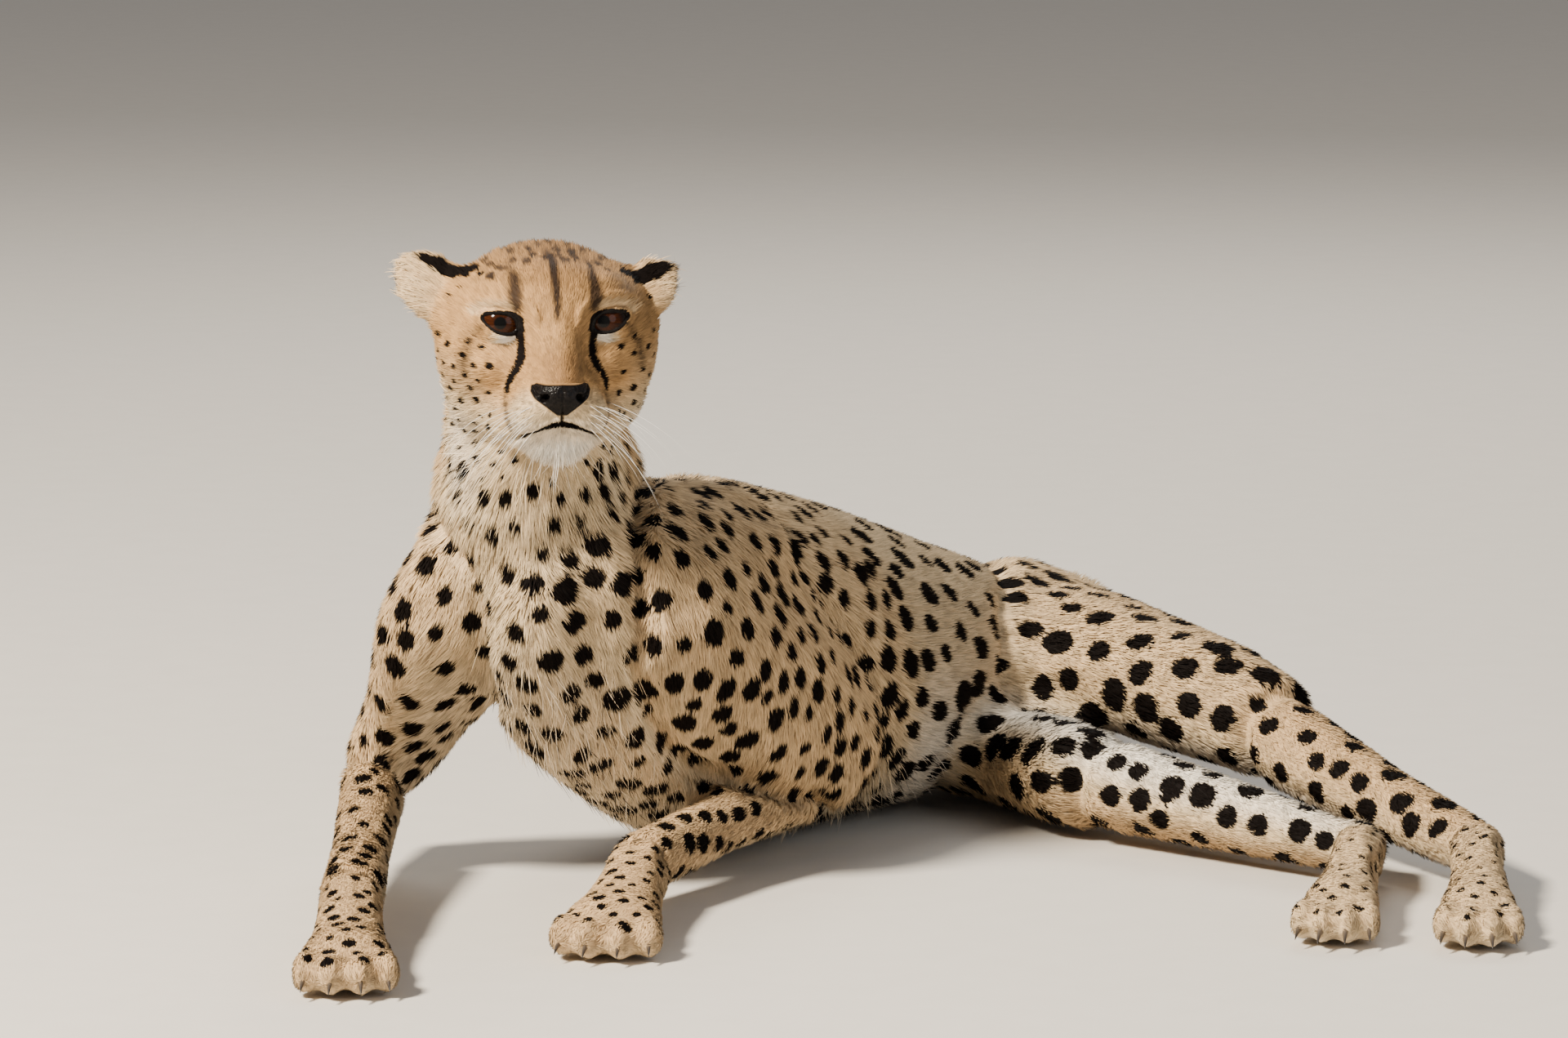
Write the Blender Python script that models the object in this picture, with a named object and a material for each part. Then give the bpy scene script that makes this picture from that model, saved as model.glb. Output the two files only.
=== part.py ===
"""A resting cheetah, life size, as closed solids that meet at thin cuts.

The whole animal is lofted and blended as one body, set on the floor, and then
parted at the joints. Metres, +Z up. The animal faces -Y and its own left side
is toward +X.
"""

import math

import bmesh
import bpy
import numpy as np
from mathutils import Matrix, Vector

# ---------------------------------------------------------------- sizes
VOXEL = 0.0026  # cell of the blend that joins the lofted forms
SMOOTH_BODY = 70  # easing steps on the trunk and limbs
SMOOTH_HEAD = 16  # easing steps on the head, the feet and all else
TARGET_TRIANGLES = 3600
GAP = 0.0004  # width of every cut between two pieces
RING = 28  # points round a lofted form
STEPS = 6  # rings between two stations of a loft
END_BULGE = 0.7  # how far a loft's end is rounded, of its smaller half size
CHEST_TAPER = 0.16  # how much narrower the chest is at the breastbone than at mid height
HEAD_REACH = 0.135  # from the head's middle to where its fine forms end
FOOT_HEIGHT = 0.055
FOOT_FADE = 0.02

HEAD_MIDDLE = Vector((-0.0506, -0.1026, 0.4003))  # on the eye line, above the jaw hinge
HEAD_YAW = 9.0  # degrees, toward the animal's left
HEAD_PITCH = -6.0  # degrees, nose down
EYE_RADIUS = 0.0172
EYE_SIDE = 0.0345
EYE_AHEAD = 0.0215
EAR_SIZE = {-1: 1.08, 1: 0.87}  # the left ear is turned away, and shows smaller
EAR_ROOT = (0.053, -0.018, 0.0120)  # side, ahead and up of the head's middle
EAR_OUT = (0.90, 0.06, 0.42)  # the way from the root to the tip
EAR_BACK = (-0.30, -0.55, 0.78)  # the way the ear's back is turned
EAR_HEIGHT = 0.058
EAR_WIDTH = 0.062
EAR_THICKNESS = 0.0120
EAR_THICK = (1.25, 0.80)  # of the thickness, at the root and at the tip
EAR_FULL = 0.42  # part of the height up to which the ear keeps its width
EAR_TAPER = 0.34  # how slowly it narrows above that
EAR_CURL = (72.0, 50.0)  # degrees that each side curls round, at the root and at the tip
EAR_CUP = 0.020  # depth of the cup
EAR_CUP_PART = (1.4, 0.9)  # of that depth, at the root and at the tip
EAR_EDGE = 0.55  # how much the sheet thins to its side edges
EAR_SUNK = 0.16  # part of the height that lies inside the skull
EAR_CELLS = (14, 12)  # across and up
EAR_CUT = (0.0, -0.006, 0.012)  # middle of the cut at the root, in the ear's frame
EAR_CUT_RADIUS = 0.040

CLAW_LENGTH = 0.017
CLAW_RADIUS = 0.0033
CLAW_TIP = 0.18  # radius of the tip, of the claw's
CLAW_SIDES = 6
CLAW_AIM = (0.0, 0.93, -0.36)  # ahead and down, in the foot's frame
CLAW_AHEAD = 0.118  # from the toe's middle to the toe's front, of the foot's length
CLAW_SUNK = 0.25  # part of the claw's length by which it is set back into the toe
CLAW_HIGH = 0.0100
CLAW_SPREAD = 1.06  # how much farther apart the claws are than the toes' middles

# Trunk, from the breast back to the rump: middle, half depth, half width, roll in degrees.
TRUNK = (
    (-0.060, -0.100, 0.190, 0.055, 0.045, 0),
    (-0.046, -0.070, 0.183, 0.092, 0.072, 2),
    (-0.020, -0.010, 0.168, 0.112, 0.092, 5),
    (0.018, 0.065, 0.146, 0.130, 0.100, 9),
    (0.055, 0.135, 0.131, 0.135, 0.103, 14),
    (0.100, 0.210, 0.121, 0.127, 0.103, 25),
    (0.150, 0.280, 0.108, 0.118, 0.098, 37),
    (0.203, 0.345, 0.095, 0.105, 0.088, 50),
    (0.250, 0.405, 0.083, 0.095, 0.080, 61),
    (0.290, 0.460, 0.077, 0.089, 0.079, 68),
    (0.322, 0.510, 0.070, 0.068, 0.067, 72),
    (0.341, 0.545, 0.062, 0.036, 0.036, 74),
)
# Neck, from between the shoulders up into the skull: middle, half depth, half width.
NECK = (
    (-0.026, 0.020, 0.180, 0.105, 0.094),
    (-0.052, -0.006, 0.235, 0.085, 0.101),
    (-0.0625, -0.028, 0.280, 0.070, 0.090),
    (-0.0615, -0.044, 0.320, 0.062, 0.072),
    (-0.059, -0.056, 0.360, 0.055, 0.058),
    (-0.059, -0.062, 0.385, 0.042, 0.046),
)
# Limbs: middle, half size across, half size along the limb's broad side.
SHOULDER_LEFT = (
    (0.064, 0.095, 0.232, 0.024, 0.034),
    (0.057, 0.030, 0.222, 0.036, 0.062),
    (0.040, -0.040, 0.188, 0.045, 0.060),
    (0.092, 0.033, 0.136, 0.044, 0.072),
    (0.142, 0.108, 0.076, 0.036, 0.044),
)
SHOULDER_RIGHT = (
    (-0.016, 0.122, 0.236, 0.024, 0.034),
    (-0.080, 0.040, 0.226, 0.036, 0.060),
    (-0.120, -0.030, 0.192, 0.045, 0.056),
    (-0.136, 0.012, 0.135, 0.038, 0.056),
    (-0.164, 0.050, 0.080, 0.031, 0.040),
)
FOREARM_LEFT = (
    (0.148, 0.128, 0.066, 0.030, 0.030),
    (0.128, 0.088, 0.059, 0.031, 0.033),
    (0.096, 0.036, 0.051, 0.028, 0.029),
    (0.052, -0.040, 0.042, 0.0235, 0.025),
    (0.010, -0.115, 0.034, 0.0250, 0.025),
)
FOREARM_RIGHT = (
    (-0.172, 0.070, 0.074, 0.027, 0.031),
    (-0.175, 0.020, 0.066, 0.027, 0.034),
    (-0.176, -0.045, 0.055, 0.0255, 0.030),
    (-0.176, -0.140, 0.043, 0.0230, 0.025),
    (-0.177, -0.230, 0.034, 0.0240, 0.025),
)
THIGH_LEFT = (
    (0.262, 0.445, 0.104, 0.046, 0.070),
    (0.315, 0.365, 0.103, 0.047, 0.082),
    (0.365, 0.295, 0.095, 0.047, 0.066),
    (0.412, 0.233, 0.087, 0.045, 0.055),
    (0.448, 0.185, 0.076, 0.040, 0.043),
)
SHIN_LEFT = (
    (0.442, 0.195, 0.074, 0.034, 0.038),
    (0.490, 0.115, 0.055, 0.031, 0.035),
    (0.535, 0.040, 0.038, 0.0245, 0.027),
    (0.577, -0.032, 0.0265, 0.0205, 0.024),
)
THIGH_RIGHT = (
    (0.250, 0.420, 0.044, 0.044, 0.060),
    (0.262, 0.330, 0.040, 0.042, 0.062),
    (0.285, 0.245, 0.040, 0.041, 0.052),
    (0.316, 0.160, 0.042, 0.040, 0.043),
)
SHIN_RIGHT = (
    (0.310, 0.170, 0.042, 0.037, 0.038),
    (0.370, 0.110, 0.037, 0.033, 0.035),
    (0.440, 0.043, 0.029, 0.0255, 0.028),
    (0.499, -0.020, 0.0235, 0.0200, 0.023),
)
TAIL = (
    (0.316, 0.520, 0.075, 0.034, 0.036),
    (0.338, 0.590, 0.046, 0.027, 0.027),
    (0.322, 0.655, 0.024, 0.0235, 0.0235),
    (0.245, 0.702, 0.0195, 0.022, 0.022),
    (0.140, 0.712, 0.0190, 0.0215, 0.0215),
    (0.040, 0.690, 0.0185, 0.021, 0.021),
    (-0.030, 0.640, 0.0180, 0.0205, 0.0205),
    (-0.075, 0.575, 0.0160, 0.018, 0.018),
    (-0.090, 0.540, 0.0120, 0.012, 0.012),
)
LEVEL = (-0.447, -0.894, 0.0)  # the way the chest faces
LIMB_CELLS = (
    ("shoulder_left", SHOULDER_LEFT, LEVEL),
    ("shoulder_right", SHOULDER_RIGHT, LEVEL),
    ("forearm_left", FOREARM_LEFT, (0, 0, 1)),
    ("forearm_right", FOREARM_RIGHT, (0, 0, 1)),
    ("thigh_left", THIGH_LEFT, (0.77, 0.64, 0)),
    ("thigh_right", THIGH_RIGHT, (0.9, 0.4, 0)),
)
# Feet: ankle, heading in degrees from -Y toward +X, length, half width.
FEET = {
    "forepaw_left": ((0.010, -0.115, 0.034), -7.0, 0.186, 0.0350),
    "forepaw_right": ((-0.177, -0.230, 0.034), 2.0, 0.186, 0.0320),
    "hindfoot_left": ((0.577, -0.032, 0.0265), -5.0, 0.236, 0.0280),
    "hindfoot_right": ((0.499, -0.020, 0.0235), -9.0, 0.236, 0.0275),
}
TOE_SPREAD = (-0.80, -0.29, 0.29, 0.80)  # of the half width, across the paw
TOE_REACH = (0.845, 0.895, 0.895, 0.845)  # of the length, to the toe's middle
TOE_FAN = 11.0  # degrees that the outer toes turn out
TOE_UP = 0.0150  # height of the toes' middles
TOE_HIGH = 0.0165  # half height of a toe
TOE_WIDE = 0.30  # half width of a toe, of the foot's half width
TOE_LONG = 0.115  # half length of a toe, of the foot's length
SLIM_FORE = 0.70  # how narrow the foot's upper end is, of its half width
SLIM_HIND = 0.76
FOOT_START = -0.06  # where the foot's form begins, of its length
FOOT_START_HIGH = 0.024
# The foot from the ankle on: ahead and half width in its own sizes, half height, height.
FOOT_ROWS = (
    (0.22, 0.69, 0.022, 0.027),
    (0.50, 0.80, 0.0195, 0.0205),
    (0.70, 0.98, 0.0190, 0.0185),
    (0.82, 0.92, 0.0150, 0.0150),
)

# Skull and face, in the head's own frame: side, ahead, up, and the three half sizes.
LUMPS_MIDDLE = (
    (0.0, -0.024, 0.0042, 0.0610, 0.0640, 0.0405),  # brain case
    (0.0, 0.004, 0.0085, 0.0510, 0.0450, 0.0350),  # forehead
    (0.0, 0.043, -0.047, 0.0330, 0.0350, 0.0290),  # muzzle
    (0.0, 0.0710, -0.0385, 0.0190, 0.0115, 0.0120),  # nose
    (0.0, 0.049, -0.0755, 0.0225, 0.0215, 0.0150),  # chin
    (0.0, -0.008, -0.054, 0.0440, 0.0540, 0.0300),  # throat and jaw
)
LUMPS_PAIRED = (
    (0.0410, -0.008, -0.020, 0.0350, 0.0430, 0.0500),  # cheek
    (0.0380, -0.012, -0.046, 0.0320, 0.0400, 0.0400),  # jowl
    (0.0385, -0.018, 0.0100, 0.0275, 0.0400, 0.0235),  # temple
    (0.0265, 0.010, 0.0140, 0.0280, 0.0290, 0.0230),  # brow
    (0.0345, 0.010, -0.0010, 0.0290, 0.0240, 0.0220),  # round the eye
    (0.0330, 0.014, -0.0270, 0.0290, 0.0275, 0.0240),  # cheekbone
    (0.0160, 0.053, -0.0530, 0.0200, 0.0255, 0.0185),  # whisker pad
    (0.0130, 0.036, -0.0670, 0.0190, 0.0320, 0.0190),  # lip and jaw
    (0.0250, 0.014, -0.0600, 0.0230, 0.0440, 0.0230),  # jaw
)
# Bridge of the nose, in the head's own frame: side, ahead, up, half height, half width.
BRIDGE = (
    (0.0, 0.000, 0.016, 0.026, 0.030),
    (0.0, 0.026, 0.000, 0.023, 0.0215),
    (0.0, 0.047, -0.021, 0.021, 0.0190),
    (0.0, 0.064, -0.038, 0.018, 0.0180),
)

# Cuts that part the body at its slim places: a point, the way across, and the disc's radius.
JOINT_CUTS = {
    "head_neck": ((-0.059, -0.050, 0.322), (-0.02, -0.50, 0.86), 0.110),
    "neck_chest": ((-0.050, -0.024, 0.268), (-0.12, -0.36, 0.93), 0.118),
    "wrist_left": ((0.010, -0.115, 0.034), (-0.30, -0.95, 0.0), 0.045),
    "wrist_right": ((-0.177, -0.230, 0.034), (0.0, -1.0, 0.0), 0.045),
    "knee_left": ((0.452, 0.178, 0.072), (0.52, -0.85, 0.0), 0.062),
    "knee_right": ((0.326, 0.148, 0.040), (0.60, -0.80, 0.0), 0.060),
    "hock_left": ((0.577, -0.036, 0.026), (0.24, -0.97, 0.0), 0.034),
    "hock_right": ((0.498, -0.026, 0.023), (0.22, -0.97, 0.0), 0.032),
    "tail_root": ((0.337, 0.572, 0.052), (0.20, 0.93, -0.28), 0.046),
    "tail_first": ((0.245, 0.702, 0.0215), (-0.95, 0.30, 0.0), 0.036),
    "tail_second": ((0.090, 0.704, 0.0210), (-1.0, -0.15, 0.0), 0.036),
    "tail_third": ((-0.030, 0.640, 0.0200), (-0.65, -0.76, 0.0), 0.036),
}
# Cuts across the trunk, once the limbs are off it.
TRUNK_CUTS = {
    "chest_abdomen": ((0.112, 0.228, 0.118), (-0.52, -0.85, 0.0), 0.170),
    "abdomen_pelvis": ((0.215, 0.360, 0.092), (-0.61, -0.79, 0.0), 0.160),
}
CELL_MARGIN = 0.007  # how far the space that takes a limb from the trunk is wider than the limb
CELL_VOXEL = 0.009  # grid, easing steps and triangles of that space
CELL_EASE = 4
CELL_TRIANGLES = 130
CELL_GAP = 0.0006  # a little over the gap, as slanting faces lie closer
LEAST_PIECE = 0.000004  # cubic metres; a smaller scrap left by a cut is dropped

# A point well inside each piece, by which the parted bodies get their names.
SEEDS = {
    "head": (-0.053, -0.100, 0.385),
    "neck": (-0.056, -0.046, 0.306),
    "chest": (0.021, 0.064, 0.164),
    "abdomen": (0.184, 0.289, 0.105),
    "pelvis": (0.269, 0.437, 0.074),
    "upper_arm_left": (0.078, 0.030, 0.166),
    "upper_arm_right": (-0.106, 0.028, 0.182),
    "forearm_left": (0.092, 0.043, 0.055),
    "forearm_right": (-0.174, -0.115, 0.044),
    "forepaw_left": (-0.006, -0.249, 0.016),
    "forepaw_right": (-0.173, -0.343, 0.018),
    "thigh_left": (0.352, 0.311, 0.096),
    "thigh_right": (0.268, 0.312, 0.036),
    "shin_left": (0.512, 0.069, 0.055),
    "shin_right": (0.410, 0.066, 0.030),
    "hindfoot_left": (0.558, -0.209, 0.014),
    "hindfoot_right": (0.478, -0.195, 0.014),
    "tail_base": (0.298, 0.642, 0.032),
    "tail_middle": (0.165, 0.705, 0.020),
    "tail_rings": (0.029, 0.674, 0.018),
    "tail_tip": (-0.048, 0.611, 0.018),
}


# ---------------------------------------------------------------- meshes
def clear_scene():
    """Removes everything the session starts with."""
    for thing in list(bpy.data.objects):
        bpy.data.objects.remove(thing, do_unlink=True)


def add_object(name, mesh):
    """Links a mesh into the scene under a name."""
    thing = bpy.data.objects.new(name, mesh)
    bpy.context.scene.collection.objects.link(thing)
    return thing


def new_mesh(name, points, faces):
    """A mesh with its faces turned outward."""
    mesh = bpy.data.meshes.new(name)
    mesh.from_pydata([tuple(p) for p in points], [], faces)
    work = bmesh.new()
    work.from_mesh(mesh)
    bmesh.ops.recalc_face_normals(work, faces=work.faces)
    work.to_mesh(mesh)
    work.free()
    return mesh


def spline(rows):
    """Rows between the given ones, on a smooth curve through them all."""
    data = np.array(rows, dtype=float)
    ends = np.vstack([2 * data[0] - data[1], data, 2 * data[-1] - data[-2]])
    out = []
    for i in range(1, len(ends) - 2):
        a, b, c, d = ends[i - 1 : i + 3]
        for t in np.arange(STEPS) / STEPS:
            curve = 2 * b + (c - a) * t + (2 * a - 5 * b + 4 * c - d) * t * t
            out.append(0.5 * (curve + (3 * b - a - 3 * c + d) * t**3))
    out.append(data[-1])
    return np.array(out)


def rounded_ends(middles, half_across, half_along):
    """The same rows with both ends drawn in to a rounded close."""
    angles = np.radians([84.0, 66.0, 46.0, 24.0])
    out = []
    for end, inward in ((0, 1), (-1, -2)):
        way = middles[end] - middles[inward]
        way = way / np.linalg.norm(way)
        bulge = END_BULGE * min(half_across[end], half_along[end])
        rows = [(middles[end] + way * bulge * math.sin(a), end, math.cos(a)) for a in angles]
        out.append(rows)
    return out[0], out[1][::-1]


def loft(name, middles, across, along, half_across, half_along, egg=None):
    """A closed form with an elliptical ring at each middle; egg narrows its under side."""
    turn = np.arange(RING) * 2 * math.pi / RING
    egg = np.zeros(len(middles)) if egg is None else egg
    front, back = rounded_ends(middles, half_across, half_along)
    rows = [(m, i, 1.0) for i, m in enumerate(middles)]
    rows = front + rows + back
    points = []
    for m, i, shrink in rows:
        wide = np.cos(turn) * (1 + egg[i] * np.sin(turn)) * half_across[i] * shrink
        tall = np.sin(turn) * half_along[i] * shrink
        points.extend(m + np.outer(wide, across[i]) + np.outer(tall, along[i]))
    count = len(rows)
    faces = []
    for i in range(count - 1):
        for j in range(RING):
            k = (j + 1) % RING
            faces.append((i * RING + j, i * RING + k, (i + 1) * RING + k, (i + 1) * RING + j))
    faces.append(tuple(range(RING))[::-1])
    faces.append(tuple((count - 1) * RING + j for j in range(RING)))
    return new_mesh(name, points, faces)


def unit(rows):
    """Each row at length one."""
    return rows / np.linalg.norm(rows, axis=1)[:, None]


def limb(name, rows, broad):
    """A limb: rows of middle, half across, half broad; broad is the way its broad side lies."""
    fine = spline(rows)
    middles = fine[:, :3]
    way = unit(np.gradient(middles, axis=0))
    side = np.tile(np.array(broad, dtype=float), (len(fine), 1))
    side = unit(side - (side * way).sum(1)[:, None] * way)
    across = unit(np.cross(way, side))
    return loft(name, middles, across, side, fine[:, 3], fine[:, 4])


def trunk():
    """The trunk, rolled more and more onto the animal's right side toward the rump."""
    fine = spline(TRUNK)
    middles = fine[:, :3]
    way = unit(np.gradient(middles * (1, 1, 0.4), axis=0))
    level = unit(np.cross(np.tile((0.0, 0.0, 1.0), (len(fine), 1)), -way))
    up = unit(np.cross(-way, level))
    roll = np.radians(fine[:, 5])[:, None]
    back = np.cos(roll) * up - np.sin(roll) * level
    left = np.cos(roll) * level + np.sin(roll) * up
    taper = CHEST_TAPER * np.clip(1.6 - np.arange(len(fine)) / (4 * STEPS), 0, 1)
    return loft("trunk", middles, left, back, fine[:, 4], fine[:, 3], taper)


def ball(name, middle, radii, turn=None):
    """An ellipsoid, its half sizes along the columns of turn."""
    mesh = bpy.data.meshes.new(name)
    work = bmesh.new()
    bmesh.ops.create_uvsphere(work, u_segments=16, v_segments=10, radius=1.0)
    shape = Matrix.Diagonal((*radii, 1.0))
    frame = (turn or Matrix.Identity(3)).to_4x4()
    bmesh.ops.transform(work, matrix=Matrix.Translation(middle) @ frame @ shape, verts=work.verts)
    work.to_mesh(mesh)
    work.free()
    return mesh


# ---------------------------------------------------------------- head
def head_frame():
    """The head's axes as columns: toward its left, backward, up."""
    yaw = Matrix.Rotation(math.radians(HEAD_YAW), 3, "Z")
    pitch = Matrix.Rotation(math.radians(-HEAD_PITCH), 3, "X")
    return yaw @ pitch


def in_head(side, ahead, up):
    """A point of the head's own frame, in the world."""
    return HEAD_MIDDLE + head_frame() @ Vector((side, -ahead, up))


def head_forms():
    """The blended forms of the skull and face."""
    frame = head_frame()
    forms = []
    for side, ahead, up, *radii in LUMPS_MIDDLE:
        forms.append(ball("lump", in_head(side, ahead, up), radii, frame))
    for sign in (-1, 1):
        for side, ahead, up, *radii in LUMPS_PAIRED:
            forms.append(ball("lump", in_head(sign * side, ahead, up), radii, frame))
    rows = [(*in_head(*row[:3]), row[4], row[3]) for row in BRIDGE]
    forms.append(limb("bridge", rows, frame @ Vector((0, -0.6, 0.8))))
    return forms


def ear_matrix(sign):
    """The ear's frame: its root on the skull, height outward, its back turned up and ahead."""
    mirror = Matrix.Diagonal((sign, 1.0, 1.0))
    root = in_head(*(mirror @ Vector(EAR_ROOT)))
    height = head_frame() @ mirror @ Vector(EAR_OUT)
    back = head_frame() @ mirror @ Vector(EAR_BACK)
    height.normalize()
    back = (back - back.dot(height) * height).normalized()
    across = back.cross(height)
    turn = Matrix((across, back, height)).transposed().to_4x4()
    return Matrix.Translation(root) @ turn @ Matrix.Diagonal((*[EAR_SIZE[sign]] * 3, 1.0))


def between(pair, part):
    """The value that lies the given part of the way between two."""
    return pair[0] + (pair[1] - pair[0]) * part


def ear_point(face, rise, part):
    """A point of the ear's shell: on its back or front face, by height and place across."""
    narrow = max(0.0, rise - EAR_FULL) ** 2 / EAR_TAPER
    half = 0.5 * EAR_WIDTH * math.sqrt(max(0.0, 1 - narrow))
    curl = math.radians(between(EAR_CURL, rise))
    bend = curl * part
    x = half * math.sin(bend) / math.sin(curl)
    y = -EAR_CUP * (1 - math.cos(bend)) * between(EAR_CUP_PART, rise)
    edge = math.sqrt(1 - EAR_EDGE * abs(part) ** 4)
    thick = EAR_THICKNESS * between(EAR_THICK, rise) * edge
    return (x, y + face * thick, EAR_HEIGHT * (rise - EAR_SUNK))


def ear(sign):
    """A rounded, cupped ear: a shell between two bowed sheets."""
    cells_across, cells_up = EAR_CELLS
    points = []
    for face in (0.5, -0.5):
        for i in range(cells_up + 1):
            for j in range(cells_across + 1):
                points.append(ear_point(face, i / cells_up, 2 * j / cells_across - 1))
    wide = cells_across + 1
    sheet = wide * (cells_up + 1)
    faces = []
    for i in range(cells_up):
        for j in range(cells_across):
            a = i * wide + j
            faces.append((a, a + 1, a + wide + 1, a + wide))
            faces.append((sheet + a, sheet + a + wide, sheet + a + wide + 1, sheet + a + 1))
    rim = [j for j in range(wide)]
    rim += [i * wide + cells_across for i in range(1, cells_up + 1)]
    rim += [cells_up * wide + j for j in range(cells_across - 1, -1, -1)]
    rim += [i * wide for i in range(cells_up - 1, 0, -1)]
    for k, a in enumerate(rim):
        b = rim[(k + 1) % len(rim)]
        faces.append((a, b, sheet + b, sheet + a))
    matrix = ear_matrix(sign)
    return new_mesh("ear", [matrix @ Vector(p) for p in points], faces)


# ---------------------------------------------------------------- feet
def foot_frame(name):
    """The foot's ankle, and its axes as columns: across, ahead, up."""
    ankle, heading, length, half = FEET[name]
    turn = Matrix.Rotation(math.radians(heading), 3, "Z") @ Matrix.Rotation(math.pi, 3, "Z")
    return Vector(ankle), turn, length, half


def foot_point(name, across, ahead, up):
    """A point of the foot's frame in the world; across and ahead count in its sizes."""
    ankle, frame, length, half = foot_frame(name)
    flat = frame @ Vector((across * half, ahead * length, 0.0))
    return Vector((ankle.x + flat.x, ankle.y + flat.y, up))


def foot_forms(name):
    """The long bone bundle, the pad and four toes of one foot."""
    ankle, frame, length, half = foot_frame(name)
    slim = SLIM_FORE if name.startswith("fore") else SLIM_HIND
    rows = [(*foot_point(name, 0.0, FOOT_START, ankle.z), half * slim, FOOT_START_HIGH)]
    for ahead, wide, high, up in FOOT_ROWS:
        rows.append((*foot_point(name, 0.0, ahead, up), half * max(wide, slim), high))
    forms = [limb("foot", rows, frame @ Vector((0, 0, 1)))]
    for spread, reach in zip(TOE_SPREAD, TOE_REACH):
        fan = Matrix.Rotation(math.radians(-TOE_FAN * spread), 3, "Z")
        middle = foot_point(name, spread, reach, TOE_UP)
        radii = (half * TOE_WIDE, length * TOE_LONG, TOE_HIGH)
        forms.append(ball("toe", middle, radii, frame @ fan))
    return forms


def claw_mesh(name, spread, reach, grow):
    """One claw, a short cone that leaves the toe low at its front."""
    ankle, frame, length, half = foot_frame(name)
    fan = Matrix.Rotation(math.radians(-TOE_FAN * spread), 3, "Z")
    tip_reach = reach + CLAW_AHEAD - CLAW_LENGTH * CLAW_SUNK / length
    middle = foot_point(name, spread * CLAW_SPREAD, tip_reach, CLAW_HIGH)
    aim = frame @ fan @ Vector(CLAW_AIM)
    turn = aim.to_track_quat("Z", "Y").to_matrix().to_4x4()
    work = bmesh.new()
    bmesh.ops.create_cone(
        work,
        cap_ends=True,
        segments=CLAW_SIDES,
        radius1=CLAW_RADIUS + grow,
        radius2=CLAW_RADIUS * CLAW_TIP + grow,
        depth=CLAW_LENGTH + 2 * grow,
        matrix=Matrix.Translation(middle) @ turn,
    )
    mesh = bpy.data.meshes.new("claw")
    work.to_mesh(mesh)
    work.free()
    return mesh


# ---------------------------------------------------------------- whole body
def join(meshes):
    """One mesh that holds all the given ones."""
    work = bmesh.new()
    for mesh in meshes:
        work.from_mesh(mesh)
    whole = bpy.data.meshes.new("whole")
    work.to_mesh(whole)
    work.free()
    for mesh in meshes:
        bpy.data.meshes.remove(mesh)
    return whole


def bake_modifiers(thing):
    """Writes an object's modifiers into its mesh."""
    graph = bpy.context.evaluated_depsgraph_get()
    graph.update()
    mesh = bpy.data.meshes.new_from_object(thing.evaluated_get(graph))
    thing.modifiers.clear()
    thing.data = mesh


def whole_body():
    """All forms blended into one smooth body."""
    forms = [trunk(), limb("neck", NECK, (-0.25, -0.95, 0.0)), limb("tail", TAIL, (0, 0, 1))]
    forms += [limb(*cell) for cell in LIMB_CELLS]
    forms += [limb("shin", SHIN_LEFT, (0.77, 0.64, 0)), limb("shin", SHIN_RIGHT, (0.7, 0.7, 0))]
    forms += head_forms() + [ear(-1), ear(1)]
    for name in FEET:
        forms += foot_forms(name)
    body = add_object("whole", join(forms))
    blend = body.modifiers.new("blend", "REMESH")
    blend.mode = "VOXEL"
    blend.voxel_size = VOXEL
    bake_modifiers(body)
    ease(body)
    return body


def fineness(point):
    """0 on the trunk and the upper limbs, 1 on the head and the toes."""
    head = 1.0 - (point - HEAD_MIDDLE).length_squared / HEAD_REACH**2
    low = (FOOT_HEIGHT - point.z) / FOOT_FADE
    toes = max((-0.15 - point.y) / 0.05 if point.x < 0.2 else (-0.12 - point.y) / 0.05, 0.0)
    return min(1.0, max(0.0, 4.0 * head, min(low, toes)))


def ease(body):
    """Smooths the blended body, strongly where it has no fine forms."""
    group = body.vertex_groups.new(name="broad")
    for vertex in body.data.vertices:
        group.add([vertex.index], 1.0 - fineness(vertex.co), "REPLACE")
    for steps, name in ((SMOOTH_BODY, "broad"), (SMOOTH_HEAD, "")):
        smooth = body.modifiers.new("smooth", "SMOOTH")
        smooth.factor = 0.5
        smooth.iterations = steps
        smooth.vertex_group = name
    bake_modifiers(body)


def thin_out(body):
    """Fewer triangles, the most of them kept on the head and the feet."""
    body.vertex_groups.clear()
    group = body.vertex_groups.new(name="coarse")
    for vertex in body.data.vertices:
        group.add([vertex.index], 1.0 - 0.80 * fineness(vertex.co), "REPLACE")
    faces = sum(len(p.vertices) - 2 for p in body.data.polygons)
    slim = body.modifiers.new("slim", "DECIMATE")
    slim.ratio = TARGET_TRIANGLES / faces
    slim.vertex_group = "coarse"
    slim.vertex_group_factor = 1.0
    bake_modifiers(body)


def disc(point, way, radius):
    """A thin disc across a joint."""
    turn = Vector(way).to_track_quat("Z", "Y").to_matrix().to_4x4()
    work = bmesh.new()
    bmesh.ops.create_cone(
        work,
        cap_ends=True,
        segments=24,
        radius1=radius,
        radius2=radius,
        depth=GAP,
        matrix=Matrix.Translation(point) @ turn,
    )
    mesh = bpy.data.meshes.new("disc")
    work.to_mesh(mesh)
    work.free()
    return mesh


def cut(body, mesh, operation="DIFFERENCE"):
    """Takes a mesh's space away from a body, or keeps only what lies in it."""
    cutter = add_object("cutter", mesh)
    cutter.hide_render = True
    cutter.display_type = "WIRE"
    change = body.modifiers.new("cut", "BOOLEAN")
    change.operation = operation
    change.solver = "EXACT"
    change.object = cutter
    bake_modifiers(body)
    bpy.data.objects.remove(cutter, do_unlink=True)


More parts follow.
